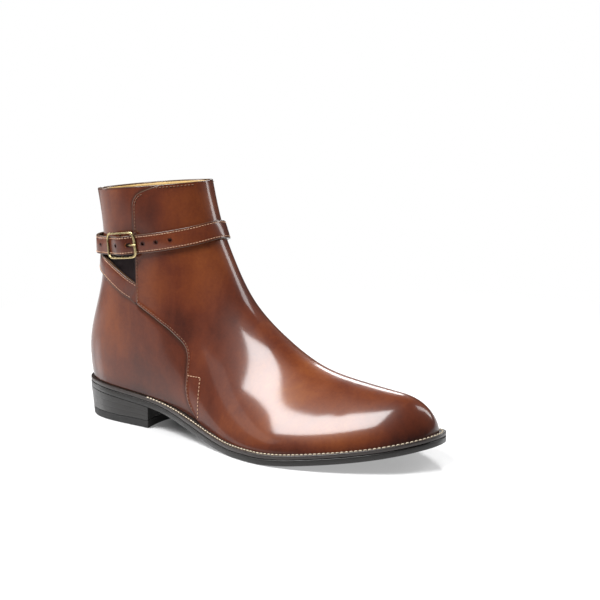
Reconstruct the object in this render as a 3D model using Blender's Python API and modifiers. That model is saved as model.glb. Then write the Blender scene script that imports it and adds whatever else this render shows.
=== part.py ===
"""Jodhpur boot for the right foot: a plain-toed ankle boot with a buckled strap wound round the ankle.

Metres, +Z up, toe towards +X, the outer side of the foot towards -Y. The origin is on the floor, under the
middle of the sole's outline. "Along" is measured forward from the rear edge of the sole.
"""

import math

import bmesh
import bpy
import numpy as np

# Driving sizes
SOLE_LENGTH = 0.304
BALL_WIDTH = 0.104
COLLAR_HEIGHT = 0.176
CLEARANCE = 0.0003

# Sole unit
WELT_THICKNESS = 0.0026
OUTSOLE_THICKNESS = 0.0042
TOP_PIECE_THICKNESS = 0.0055
INSOLE_THICKNESS = 0.0036
WELT_OVERHANG = 0.0046
SEAT_OVERHANG = 0.0012
HEEL_LENGTH = 0.081
HEEL_TAPER = 0.0018
BREAST_HOLLOW = 0.006
EDGE_ROUND = 0.0007

# Wall of the upper, and the steps down from its front panel to its quarters and to its gore
FRONT_WALL = 0.0029
QUARTER_STEP = 0.0009
GORE_STEP = 0.0017

# Rounding of the upper's ends, and how far the forms that cut its steps are carried past its edges
TOE_CLEAR_OF_EDGE = 0.0050
TOE_REACH = 0.079
TOE_WALL_REACH = 0.030
BACK_REACH = 0.056
CUT_MARGIN = 0.004

# How finely the forms are divided
TOE_ROWS = 7
FOOT_ROWS = 11
HEEL_ROWS = 7
SHAFT_ROWS = 12
SIDE_POINTS = 12
EDGE_POINTS = 40
PLATE_ROWS = 42
CORNER_STEPS = 6
EDGE_FLAT = 0.00005

# Strap, wound once and a half round the ankle
STRAP_WIDTH = 0.0132
STRAP_THICKNESS = 0.0022
STRAP_ROOT_THICKNESS = 0.0006
STRAP_TAPER = 0.009
HOLE_RADIUS = 0.0011
HOLE_SPACING = 0.0107
HOLES_TO_TOE = 3
HOLES_TO_HEEL = 3
PRONG_HOLE = 0.0078
ANKLE_AXIS = 0.062

# Buckle, chape and prong
BUCKLE_LENGTH = 0.0264
BUCKLE_HEIGHT = 0.0188
BUCKLE_CORNER = 0.0036
BUCKLE_TURN = 450.0
BUCKLE_LIFT = 0.0030
RAIL_WIDTH = 0.0013
CENTRE_BAR_LIFT = 0.0013
CENTRE_BAR_RADIUS = 0.0006
PRONG_RADIUS = 0.00065
CHAPE_WIDTH = 0.0100
CHAPE_THICKNESS = 0.0008
CHAPE_LENGTH = 0.024
FRONT_BAR_SCALE = 1.5
ROOT_TURN = 76.0
PANEL_TURN = 70.0

# The prong's rise from the centre bar to the top of the front bar: shares of the way there, of the rise
PRONG_RISE = (
    (0.20, 0.02),
    (0.36, 0.10),
    (0.54, 0.42),
    (0.72, 0.78),
    (0.95, 1.00),
    (1.03, 0.98),
)

# Height of the sole's underside: share of the sole length, share of the collar height
UNDERSIDE = (
    (-0.030, 0.1180),
    (0.060, 0.1170),
    (0.160, 0.1060),
    (0.260, 0.0905),
    (0.360, 0.0640),
    (0.460, 0.0275),
    (0.560, 0.0020),
    (0.640, -0.0010),
    (0.720, 0.0065),
    (0.780, 0.0190),
    (0.860, 0.0380),
    (0.940, 0.0620),
    (1.040, 0.1040),
)

# Line of the back: share of the collar height, share of the sole length
BACK_LINE = (
    (0.120, 0.0135),
    (0.230, 0.0050),
    (0.320, 0.0065),
    (0.430, 0.0240),
    (0.550, 0.0480),
    (0.660, 0.0600),
    (0.780, 0.0625),
    (0.890, 0.0585),
    (1.000, 0.0500),
    (1.080, 0.0420),
)

# Sections of the upper from toe to collar. Each lies in a plane square to the side view, that leans back from
# the vertical. along and height place its crest, depth is its reach below the crest, crest to foot are its half
# widths on the way down, and swing is the sideways shift of its crest and foot towards the inner side.
# along and depth are shares of the sole length, height of the collar height, and the rest of the ball width.
SECTION_COLUMNS = "along height lean depth crest shoulder side foot swing_crest swing_foot"
SECTIONS = (
    (0.996, 0.240, 0.0, 0.091, 0.365, 0.415, 0.415, 0.300, 0.060, 0.048),
    (0.892, 0.259, 0.0, 0.126, 0.405, 0.455, 0.475, 0.340, 0.033, 0.010),
    (0.782, 0.281, 2.0, 0.162, 0.430, 0.520, 0.590, 0.395, 0.021, -0.024),
    (0.673, 0.319, 6.0, 0.207, 0.470, 0.585, 0.685, 0.420, 0.026, -0.034),
    (0.574, 0.408, 15.0, 0.263, 0.480, 0.495, 0.570, 0.348, 0.032, -0.038),
    (0.488, 0.535, 33.0, 0.341, 0.510, 0.475, 0.417, 0.252, 0.023, -0.024),
    (0.430, 0.695, 55.0, 0.533, 0.665, 0.480, 0.390, 0.290, 0.015, 0.0),
    (0.392, 0.845, 72.0, 0.368, 0.615, 0.458, 0.402, 0.267, 0.006, 0.0),
    (0.367, 1.000, 85.0, 0.342, 0.632, 0.483, 0.427, 0.280, 0.006, 0.0),
    (0.358, 1.090, 90.0, 0.335, 0.648, 0.500, 0.442, 0.310, 0.012, 0.0),
)
COLLAR_STATION = 8

# Rear edge of the front panel in the side view, from collar to welt: share of the sole length, of the collar
# height, and the radius of the corner there as a share of the sole length
PANEL_EDGE = (
    (0.335, 1.010, 0.000),
    (0.234, 0.945, 0.040),
    (0.234, 0.509, 0.015),
    (0.334, 0.416, 0.080),
    (0.391, 0.352, 0.050),
    (0.393, 0.155, 0.080),
    (0.520, -0.060, 0.000),
)

# Gore between the quarter's top edge and the strap, in the side view: shares and radius as above
GORE_EDGE = (
    (0.234, 0.765, 0.000),
    (0.234, 0.576, 0.000),
    (0.185, 0.612, 0.100),
    (0.112, 0.672, 0.000),
    (0.098, 0.732, 0.000),
)

# Height of the strap's middle round the ankle: degrees turned from the toe by way of the outer side, share of
# the collar height
STRAP_ROUTE = (
    (64.0, 0.528),
    (72.0, 0.545),
    (94.0, 0.585),
    (111.0, 0.616),
    (128.0, 0.643),
    (150.0, 0.664),
    (180.0, 0.685),
    (221.0, 0.716),
    (270.0, 0.742),
    (319.0, 0.766),
    (346.0, 0.793),
    (360.0, 0.805),
    (374.0, 0.793),
    (401.0, 0.766),
    (440.0, 0.747),
    (497.0, 0.731),
    (540.0, 0.725),
    (572.0, 0.723),
)

# How far the strap stands off the front panel's level as it weaves through the buckle and laps its first turn:
# distance past the centre bar as a share of the buckle's length, lift as a share of the strap's thickness
STRAP_LIFT = (
    (-0.70, 0.00),
    (-0.50, 0.00),
    (-0.43, 0.10),
    (-0.36, 0.43),
    (-0.27, 1.10),
    (-0.18, 1.72),
    (-0.09, 1.82),
    (0.00, 1.68),
    (0.11, 1.34),
    (0.21, 0.80),
    (0.32, 0.38),
    (0.43, 0.14),
    (0.54, 0.10),
    (0.79, 0.14),
    (1.10, 0.84),
    (1.40, 0.86),
)


def spline(knots, values):
    """A natural cubic spline through the values, straight past both ends. Values may have several columns."""
    x = np.asarray(knots, float)
    y = np.asarray(values, float)
    step = np.diff(x)
    slope = (np.diff(y, axis=0).T / step).T
    count = len(x)
    system = np.eye(count)
    right = np.zeros_like(y)
    for i in range(1, count - 1):
        system[i, i - 1] = step[i - 1]
        system[i, i] = 2 * (step[i - 1] + step[i])
        system[i, i + 1] = step[i]
        right[i] = 6 * (slope[i] - slope[i - 1])
    bend = np.linalg.solve(system, right)

    def value(at):
        at = np.asarray(at, float)
        inside = np.clip(at, x[0], x[-1])
        i = np.clip(np.searchsorted(x, inside, side="right") - 1, 0, count - 2)
        shape = at.shape + (1,) * (y.ndim - 1)
        a = ((x[i + 1] - inside) / step[i]).reshape(shape)
        b = 1 - a
        h = step[i].reshape(shape)
        found = a * y[i] + b * y[i + 1] + ((a**3 - a) * bend[i] + (b**3 - b) * bend[i + 1]) * h**2 / 6
        run = (y[i + 1] - y[i]) / h + ((1 - 3 * a**2) * bend[i] + (3 * b**2 - 1) * bend[i + 1]) * h / 6
        return found + run * (at - inside).reshape(shape)

    return value


underside_line = spline(
    [row[0] * SOLE_LENGTH for row in UNDERSIDE], [row[1] * COLLAR_HEIGHT for row in UNDERSIDE]
)
back_along = spline(
    [row[0] * COLLAR_HEIGHT for row in BACK_LINE], [row[1] * SOLE_LENGTH for row in BACK_LINE]
)
COLUMN_UNITS = (SOLE_LENGTH, COLLAR_HEIGHT, math.pi / 180, SOLE_LENGTH) + 6 * (BALL_WIDTH,)
section_columns = spline(
    range(len(SECTIONS)), [[v * unit for v, unit in zip(row, COLUMN_UNITS)] for row in SECTIONS]
)
TOE_TIP = SOLE_LENGTH - TOE_CLEAR_OF_EDGE


def end_term(distance, reach):
    """Square of the width's share near an end of the form: 0 at the end, 1 from the reach on, below 0 outside."""
    return 1 - (1 - np.minimum(distance / reach, 1)) ** 3


def rounded_end(distance, reach):
    """0 at an end of the form, rising like the side of a round nose to 1 at the reach."""
    return np.sqrt(np.maximum(end_term(distance, reach), 0))


def underside(along):
    """Height of the outsole's underside, flat on the floor under the ball of the foot."""
    return np.maximum(underside_line(along), 0)


def welt_top(along):
    """Height of the welt's top."""
    return underside(along) + OUTSOLE_THICKNESS + CLEARANCE + WELT_THICKNESS


def upper_edge(along):
    """Height of the upper's lower edge, clear of the welt also where the wall leans."""
    return welt_top(along) + 2 * CLEARANCE


def section(station):
    """The named columns of the section at a station, a row number of the table that may be a fraction."""
    row = dict(zip(SECTION_COLUMNS.split(), np.moveaxis(section_columns(station), -1, 0)))
    row["along"] = np.minimum(row["along"], TOE_TIP)
    wall = rounded_end(TOE_TIP - row["along"], TOE_WALL_REACH)
    low = upper_edge(row["along"])
    row["height"] = low + (row["height"] - low) * wall
    row["depth"] = np.maximum(row["depth"] * wall, 1e-6)
    return row


def station_through(along, height):
    """The station whose section plane passes through a point of the side view."""
    along, height = np.broadcast_arrays(np.asarray(along, float), np.asarray(height, float))
    low = np.full(along.shape, -1.5)
    high = np.full(along.shape, len(SECTIONS) - 0.5)
    for _ in range(40):
        middle = (low + high) / 2
        row = section_columns(middle)
        lean = row[..., 2]
        ahead = (along - row[..., 0]) * np.cos(lean) - (height - row[..., 1]) * np.sin(lean)
        low = np.where(ahead > 0, low, middle)
        high = np.where(ahead > 0, middle, high)
    return (low + high) / 2


def fullness(along, height):
    """Square of the upper's half width at a point of the side view, below 0 outside, and its middle's shift."""
    along, height = np.broadcast_arrays(np.asarray(along, float), np.asarray(height, float))
    row = section(station_through(along, height))
    below = (row["along"] - along) * np.sin(row["lean"]) + (row["height"] - height) * np.cos(row["lean"])
    share = below / row["depth"]
    inner = np.maximum(share, 0)
    rest = 1 - inner
    width = (
        row["crest"] * rest**3
        + 3 * row["shoulder"] * inner * rest**2
        + 3 * row["side"] * inner**2 * rest
        + row["foot"] * inner**3
    )
    square = width**2 * share * end_term(along - back_along(height), BACK_REACH)
    square = square * end_term(TOE_TIP - along, TOE_REACH)
    middle = row["swing_crest"] + (row["swing_foot"] - row["swing_crest"]) * np.clip(share, 0, 1.2)
    return square, middle


def half_width(along, height):
    """Half width of the upper, and the sideways shift of its middle, at a point of the side view."""
    square, middle = fullness(along, height)
    width = np.sqrt(np.maximum(square, 0))
    return width, middle


def bisect(low, high, beyond):
    """Where beyond() turns true between low and high, for whole arrays at once."""
    low = np.array(low, float)
    high = np.array(high, float)
    for _ in range(45):
        middle = (low + high) / 2
        past = beyond(middle)
        high = np.where(past, middle, high)
        low = np.where(past, low, middle)
    return (low + high) / 2


def back_corner():
    """The point of the side view where the line of the back meets the upper's lower edge."""
    height = bisect(0.0, COLLAR_HEIGHT / 2, lambda h: h > upper_edge(back_along(h)))
    return float(back_along(height)), float(height)


def stations(top):
    """Stations of the surface's rows from the tip of the toe to the top, closest where it turns most."""
    steps = TOE_WALL_REACH * 1.3 * (np.arange(TOE_ROWS + 1) / TOE_ROWS) ** 2
    first = np.full(TOE_ROWS + 1, -1.5)
    toe = bisect(first, first + 5, lambda m: section_columns(m)[..., 0] < TOE_TIP - steps)
    corner_along, corner_height = back_corner()
    corner = float(station_through(corner_along, corner_height))
    feet = corner_along + HEEL_LENGTH * 0.75 * (np.arange(HEEL_ROWS, 0, -1) / HEEL_ROWS) ** 2
    heel = station_through(feet, upper_edge(feet))
    foot = np.linspace(toe[-1], heel[0], FOOT_ROWS + 1)
    shaft = np.linspace(corner, top, SHAFT_ROWS + 1)
    return np.concatenate([toe, foot[1:-1], heel, shaft])


def form_points(top, drop):
    """Rows of points over the upper's surface, from the outer side's lower edge or back over the crest."""
    at = stations(top)
    row = section(at)
    back = -np.sin(row["lean"])
    down = -np.cos(row["lean"])

    def outside(reach):
        along = row["along"] + reach * back
        height = row["height"] + reach * down
        return (height < upper_edge(along) - drop) | (along < back_along(height))

    reach = bisect(np.zeros(len(at)), np.full(len(at), COLLAR_HEIGHT * 1.2), outside)
    share = (1 - np.cos(np.pi * np.arange(SIDE_POINTS + 1) / SIDE_POINTS)) / 2
    along = row["along"][:, None] + (back * reach)[:, None] * share
    height = row["height"][:, None] + (down * reach)[:, None] * share
    width, middle = half_width(along, height)
    outer = np.stack([along, middle - width, height], -1)
    inner = np.stack([along, middle + width, height], -1)
    return np.concatenate([outer[:, :0:-1], inner], axis=1)


def feather_line():
    """Plan of the upper's lower edge: from the heel's rear by the outer side to the toe, and back."""
    rear, _ = back_corner()
    share = (1 - np.cos(np.pi * np.arange(EDGE_POINTS + 1) / EDGE_POINTS)) / 2
    along = rear + (TOE_TIP - rear) * share
    width, middle = half_width(along, upper_edge(along))
    outer = np.stack([along, middle - width], -1)
    inner = np.stack([along, middle + width], -1)
    return np.concatenate([outer, inner[-2:0:-1]])


def beside_feather(distance):
    """The feather line moved outwards in plan by a distance, which may differ from point to point."""
    line = feather_line()
    run = np.roll(line, -1, axis=0) - np.roll(line, 1, axis=0)
    run = run / np.linalg.norm(run, axis=1, keepdims=True)
    outwards = np.stack([run[:, 1], -run[:, 0]], -1)
    return line + outwards * np.broadcast_to(distance, len(line))[:, None]


def sole_line(inset=0.0):
    """Plan of the sole's edge, or a line inside it: close to the upper at the heel, a welt's width before it."""
    share = np.clip((feather_line()[:, 0] - HEEL_LENGTH) / (HEEL_LENGTH * 0.6), 0, 1)
    share = share**2 * (3 - 2 * share)
    return beside_feather(SEAT_OVERHANG + (WELT_OVERHANG - SEAT_OVERHANG) * share - inset)


ORIGIN = np.array([*((sole_line().min(axis=0) + sole_line().max(axis=0)) / 2), 0.0])


def world(points):
    """Points measured along from the sole's rear edge, in the part's own frame."""
    return np.asarray(points, float) - ORIGIN


def new_object(name, mesh, colour, roughness, metallic=0.0):
    """Puts a mesh or curve into the scene as one named piece with its own material."""
    piece = bpy.data.objects.new(name, mesh)
    boot.objects.link(piece)
    material = bpy.data.materials.new(name)
    material.use_nodes = True
    shader = material.node_tree.nodes["Principled BSDF"]
    shader.inputs["Base Color"].default_value = (*colour, 1)
    shader.inputs["Roughness"].default_value = roughness
    shader.inputs["Metallic"].default_value = metallic
    mesh.materials.append(material)
    return piece


def new_cutter(name, mesh):
    """Puts a mesh into the scene as a form that only cuts or joins."""
    cutter = bpy.data.objects.new(name, mesh)
    cutters.objects.link(cutter)
    cutter.hide_render = True
    cutter.display_type = "WIRE"
    return cutter


def combine(piece, other, operation):
    """Adds an exact Boolean between a piece and a cutter."""
    modifier = piece.modifiers.new(other.name, "BOOLEAN")
    modifier.operation = operation
    modifier.solver = "EXACT"
    modifier.object = other


def rows_mesh(name, rows, ring=False, closed=False):
    """A mesh through rows of points. A ring joins each row's ends; closed also joins the last row to the first."""
    rows = world(rows)
    mesh = bpy.data.meshes.new(name)
    builder = bmesh.new()
    grid = [[builder.verts.new(point) for point in row] for row in rows]
    wide = len(grid[0])
    for i in range(len(grid) if closed else len(grid) - 1):
        here = grid[i]
        there = grid[(i + 1) % len(grid)]
        for j in range(wide if ring else wide - 1):
            k = (j + 1) % wide
            builder.faces.new((here[j], here[k], there[k], there[j]))
    if ring and not closed:
        builder.faces.new(grid[0][::-1])
        builder.faces.new(grid[-1])
    bmesh.ops.remove_doubles(builder, verts=builder.verts, dist=1e-6)
    builder.to_mesh(mesh)
    builder.free()
    return mesh


def tidy_normals(mesh):
    """Turns a closed mesh's faces outwards."""
    builder = bmesh.new()
    builder.from_mesh(mesh)
    bmesh.ops.recalc_face_normals(builder, faces=builder.faces)
    builder.to_mesh(mesh)
    builder.free()
    return mesh


def corner_path(rows):
    """Points of a side-view outline, with its corners rounded to their radii."""
    corners = [(np.array([row[0] * SOLE_LENGTH, row[1] * COLLAR_HEIGHT]), row[2] * SOLE_LENGTH) for row in rows]
    points = []
    for i, (corner, radius) in enumerate(corners):
        if radius == 0:
            points.append(corner)
            continue
        before = corners[i - 1][0] - corner
        after = corners[i + 1][0] - corner
        before = before / np.linalg.norm(before)
        after = after / np.linalg.norm(after)
        half = math.acos(np.clip(before @ after, -1, 1)) / 2
        reach = radius / math.tan(half)
        centre = corner + (before + after) / np.linalg.norm(before + after) * radius / math.sin(half)
        start = corner + before * reach - centre
        end = corner + after * reach - centre
        turn = math.pi - 2 * half
        for step in np.linspace(0, 1, CORNER_STEPS + 1):
            blend = (math.sin((1 - step) * turn) * start + math.sin(step * turn) * end) / math.sin(turn)
            points.append(centre + blend)
    return points


def side_prism(name, outline):
    """A prism right across the boot from an outline of the side view."""
    builder = bmesh.new()
    half = np.array([0.0, BALL_WIDTH, 0.0])
    ring = [builder.verts.new(world((along, 0.0, height)) - half) for along, height in outline]
    face = builder.faces.new(ring)
    grown = bmesh.ops.extrude_face_region(builder, geom=[face])
    moved = [item for item in grown["geom"] if isinstance(item, bmesh.types.BMVert)]
    bmesh.ops.translate(builder, verts=moved, vec=2 * half)
    bmesh.ops.recalc_face_normals(builder, faces=builder.faces)
    mesh = bpy.data.meshes.new(name)
    builder.to_mesh(mesh)
    builder.free()
    return new_cutter(name, mesh)


def step_cutter(name, depth, outline):
    """What is cut away from the front panel's level to leave a lower level behind an outline."""
    rows = form_points(COLLAR_STATION + 0.5, CUT_MARGIN)
    cutter = new_cutter(name, rows_mesh(name, rows))
    shell = cutter.modifiers.new("thickness", "SOLIDIFY")
    shell.thickness = depth + CUT_MARGIN
    shell.offset = 2 * CUT_MARGIN / shell.thickness - 1
    shell.use_even_offset = True
    combine(cutter, side_prism(name + " outline", outline), "INTERSECT")
    return cutter


def make_upper():
    """The lasted wall, with its front panel standing out from the quarters, and the gore set in."""
    rows = form_points(COLLAR_STATION, 0.0)
    upper = new_object("upper", rows_mesh("upper", rows), (0.16, 0.045, 0.017), 0.25)
    shell = upper.modifiers.new("wall", "SOLIDIFY")
    shell.thickness = FRONT_WALL
    shell.offset = -1
    shell.use_even_offset = True
    far = SOLE_LENGTH / 3
    edge = corner_path(PANEL_EDGE)
    behind = [(edge[-1][0], -far), (-far, -far), (-far, COLLAR_HEIGHT + far), (edge[0][0], COLLAR_HEIGHT + far)]
    combine(upper, step_cutter("quarter step", QUARTER_STEP, edge + behind), "DIFFERENCE")
    combine(upper, step_cutter("gore step", GORE_STEP, corner_path(GORE_EDGE)), "DIFFERENCE")
    upper.data.shade_smooth()
    return upper


def plate(name, line, low, high, across, front=None, hollow=0.0, taper=0.0):
    """A closed mesh inside a plan line between two heights. Its front may be cut at a length and hollowed."""
    turn = line[:, 0].argmax()
    start = line[:, 0].argmin()
    line = np.roll(line, -start, axis=0)
    turn = (turn - start) % len(line)
    outer = line[: turn + 1]
    inner = np.concatenate([line[turn:], line[:1]])[::-1]
    rear = line[0, 0] + EDGE_FLAT
    ahead = line[turn, 0] - EDGE_FLAT if front is None else front
    count = PLATE_ROWS if front is None else PLATE_ROWS // 3
    angle = math.pi if front is None else math.pi / 2
    share = (1 - np.cos(angle * np.arange(count + 1) / count)) / (1 - math.cos(angle))
    along = rear + (ahead - rear) * share
    left = np.interp(along, outer[:, 0], outer[:, 1])
    right = np.interp(along, inner[:, 0], inner[:, 1])
    part = np.arange(across + 1) / across
    y = left[:, None] + (right - left)[:, None] * part
    x = along[:, None] - hollow * (share[:, None] ** 6) * 4 * part * (1 - part)
    centre = np.array([(rear + ahead) / 2, 0.0])
    layers = []
    for height, tapered in ((low, taper), (high, 0.0)):
        shrink = 1 - tapered / (ahead - rear) * 2
        px = centre[0] + (x - centre[0]) * shrink
        py = centre[1] + (y - centre[1]) * shrink
        layers.append(np.stack([px, py, np.broadcast_to(height(x), x.shape)], -1))
    bottom, top = layers
    rows = [np.concatenate([top[i], bottom[i][::-1]]) for i in range(len(top))]
    builder = bmesh.new()
    mesh = rows_mesh(name, rows, ring=True)
    builder.from_mesh(mesh)
    bmesh.ops.recalc_face_normals(builder, faces=builder.faces)
    builder.to_mesh(mesh)
    builder.free()
    return mesh


def end_faces_as_strips(mesh):
    """Divides the many-sided end faces of a plate into strips."""
    builder = bmesh.new()
    builder.from_mesh(mesh)
    many = [face for face in builder.faces if len(face.verts) > 4]
    bmesh.ops.triangulate(builder, faces=many)
    builder.to_mesh(mesh)
    builder.free()
    return mesh


def soften_edges(piece, width):
    """Breaks a piece's sharp edges."""
    bevel = piece.modifiers.new("edges", "BEVEL")
    bevel.width = width
    bevel.segments = 1
    bevel.limit_method = "ANGLE"
    bevel.angle_limit = math.radians(50)


def make_sole():
    """Outsole, welt, insole, stacked heel and its top piece, all on the lines of the upper's lower edge."""
    above = OUTSOLE_THICKNESS + CLEARANCE
    dark = (0.018, 0.013, 0.011)

    mesh = plate("outsole", sole_line(), underside, lambda x: underside(x) + OUTSOLE_THICKNESS, 2)
    outsole = new_object("outsole", mesh, dark, 0.4)
    soften_edges(outsole, EDGE_ROUND)

    edge = sole_line()
    hidden = beside_feather(-FRONT_WALL - CLEARANCE)
    chamfer = sole_line(EDGE_ROUND)
    rows = []
    for at, height in (
        (hidden, above),
        (edge, above),
        (edge, above + WELT_THICKNESS - EDGE_ROUND),
        (chamfer, above + WELT_THICKNESS),
        (hidden, above + WELT_THICKNESS),
    ):
        rows.append(np.column_stack([at, underside(at[:, 0]) + height]))
    mesh = tidy_normals(rows_mesh("welt", np.stack(rows, 1), ring=True, closed=True))
    new_object("welt", mesh, dark, 0.45)

    line = beside_feather(-FRONT_WALL - 2 * CLEARANCE)
    mesh = plate("insole", line, lambda x: underside(x) + above, lambda x: underside(x) + above + INSOLE_THICKNESS, 2)
    new_object("insole", mesh, (0.45, 0.27, 0.1), 0.6)

    block_base = TOP_PIECE_THICKNESS + CLEARANCE
    share = block_base / underside(0.0)
    mesh = plate(
        "heel_block", sole_line(), lambda x: block_base + 0 * x, lambda x: underside(x) - CLEARANCE, 8,
        front=HEEL_LENGTH, hollow=BREAST_HOLLOW, taper=HEEL_TAPER * (1 - share),
    )
    heel = new_object("heel_block", mesh, dark, 0.45)
    mesh = plate(
        "top_piece", sole_line(HEEL_TAPER * (1 - share)), lambda x: 0 * x, lambda x: TOP_PIECE_THICKNESS + 0 * x, 8,
        front=HEEL_LENGTH - HEEL_TAPER * (1 - share), hollow=BREAST_HOLLOW, taper=HEEL_TAPER * share,
    )
    top_piece = new_object("top_piece", mesh, (0.012, 0.011, 0.011), 0.7)
    return outsole, heel, top_piece


def off_surface(points):
    """Distance of points off the front panel's surface, to first order, and the way out."""
    def level(p):
        square, middle = fullness(p[..., 0], p[..., 2])
        return (p[..., 1] - middle) ** 2 - square

    step = 1e-4
    slope = np.stack([level(points + e) - level(points - e) for e in np.eye(3) * step], -1) / (2 * step)
    size = np.linalg.norm(slope, axis=-1)
    return level(points) / size, slope / size[..., None]


def unit(vectors):
    return vectors / np.linalg.norm(vectors, axis=-1, keepdims=True)


class Route:
    """The strap's way over the upper: a point at a distance round, a height up the strap, and a lift off it."""

    def __init__(self):
        turned = [row[0] for row in STRAP_ROUTE]
        height = spline(turned, [row[1] * COLLAR_HEIGHT for row in STRAP_ROUTE])
        self.turned = np.arange(turned[0], turned[-1] + 0.1, 2.0)
        angle = np.radians(self.turned)
        way = np.stack([np.cos(angle), -np.sin(angle)], -1)
        level = height(self.turned)

        def outside(reach):
            along = ANKLE_AXIS + reach * way[:, 0]
            square, middle = fullness(along, level)
            return (reach * way[:, 1] - middle) ** 2 > square

        reach = bisect(np.zeros(len(angle)), np.full(len(angle), SOLE_LENGTH / 3), outside)
        self.centre = np.stack([ANKLE_AXIS + reach * way[:, 0], reach * way[:, 1], level], -1)
        run = np.linalg.norm(np.diff(self.centre, axis=0), axis=1)
        self.length = np.concatenate([[0], np.cumsum(run)])
        self.out = off_surface(self.centre)[1]
        tangent = unit(np.gradient(self.centre, self.length, axis=0))
        self.up = unit(np.cross(tangent, self.out))
        seat = []
        for share in (-1, -0.5, 0, 0.5, 1):
            rise = np.zeros(len(angle))
            for _ in range(4):
                point = self.centre + self.up * share * STRAP_WIDTH / 2 + self.out * rise[:, None]
                gap, normal = off_surface(point)
                rise = rise - gap / np.maximum((normal * self.out).sum(-1), 0.5)
            seat.append(rise)
        seat = np.array(seat)
        flat = seat[0] + (seat[-1] - seat[0]) * np.linspace(0, 1, 5)[:, None]
        proud = np.maximum(seat - flat, 0).max(axis=0)
        self.low = seat[0] + proud
        self.high = seat[-1] + proud
        self.buckle = self.at_turn(BUCKLE_TURN)

    def at_turn(self, degrees):
        """Distance round at an angle turned from the toe."""
        return float(np.interp(degrees, self.turned, self.length))

    def read(self, values, at):
        return np.stack([np.interp(at, self.length, column) for column in values.T], -1)

    def place(self, at, up, lift):
        """Points at distances round, heights up the strap from its middle, and lifts off the front panel."""
        at, up, lift = np.broadcast_arrays(np.asarray(at, float), up, lift)
        share = up / STRAP_WIDTH + 0.5
        low = np.interp(at, self.length, self.low)
        high = np.interp(at, self.length, self.high)
        rise = lift + low + (high - low) * share
        out = unit(self.read(self.out, at))
        upwards = unit(self.read(self.up, at))
        return self.read(self.centre, at) + upwards * up[..., None] + out * rise[..., None]


def strap_lift(route, at):
    """Lift of the strap's inner face off the front panel's surface."""
    shares = spline([row[0] for row in STRAP_LIFT], [row[1] for row in STRAP_LIFT])
    past = np.clip((at - route.buckle) / BUCKLE_LENGTH, STRAP_LIFT[0][0], STRAP_LIFT[-1][0])
    lift = np.maximum(shares(past), 0) * STRAP_THICKNESS
    front = route.at_turn(360 - PANEL_TURN)
    on_quarter = np.clip((front - at) / STRAP_TAPER, 0, 1)
    return lift - QUARTER_STEP * on_quarter + CLEARANCE


def ribbon_rows(route, at, inner, outer, width, chamfer):
    """Rows of points round a flat strip, its outer edges broken."""
    half = width / 2
    rows = []
    for up, lift in (
        (-half, inner),
        (half, inner),
        (half, outer - chamfer),
        (half - chamfer, outer),
        (-half + chamfer, outer),
        (-half, outer - chamfer),
    ):
        rows.append(route.place(at, up, lift))
    return np.stack(rows, 1)


def tube(name, points, radius, cyclic=False, scale=None):
    """A round bar along points, as a mesh."""
    curve = bpy.data.curves.new(name, "CURVE")
    curve.dimensions = "3D"
    curve.bevel_depth = radius
    curve.bevel_resolution = 2
    curve.use_fill_caps = True
    spline_ = curve.splines.new("POLY")
    spline_.points.add(len(points) - 1)
    for i, point in enumerate(world(points)):
        spline_.points[i].co = (*point, 1)
        spline_.points[i].radius = 1 if scale is None else scale[i]
    spline_.use_cyclic_u = cyclic
    holder = bpy.data.objects.new(name + " line", curve)
    bpy.context.scene.collection.objects.link(holder)
    seen = holder.evaluated_get(bpy.context.evaluated_depsgraph_get())
    mesh = bpy.data.meshes.new_from_object(seen)
    bpy.data.objects.remove(holder)
    builder = bmesh.new()
    builder.from_mesh(mesh)
    bmesh.ops.remove_doubles(builder, verts=builder.verts, dist=1e-5)
    bmesh.ops.recalc_face_normals(builder, faces=builder.faces)
    builder.to_mesh(mesh)
    builder.free()
    return mesh


def prong_points(route, eye_from=-130.0):
    """The prong's line: round the centre bar, up through the strap, and onto the far bar."""
    ring = CENTRE_BAR_RADIUS + CLEARANCE + PRONG_RADIUS
    points = []
    for angle in np.radians(np.linspace(eye_from, 90, 10)):
        points.append((ring * math.cos(angle), CENTRE_BAR_LIFT + ring * math.sin(angle)))
    top = BUCKLE_LIFT + RAIL_WIDTH * (1 + FRONT_BAR_SCALE) / 2 + CLEARANCE + PRONG_RADIUS
    low = CENTRE_BAR_LIFT + ring
    for share, rise in PRONG_RISE:
        points.append((-share * BUCKLE_LENGTH / 2, low + (top - low) * rise))
    points = np.array(points)
    return route.place(route.buckle + points[:, 0], 0.0, points[:, 1])


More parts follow.
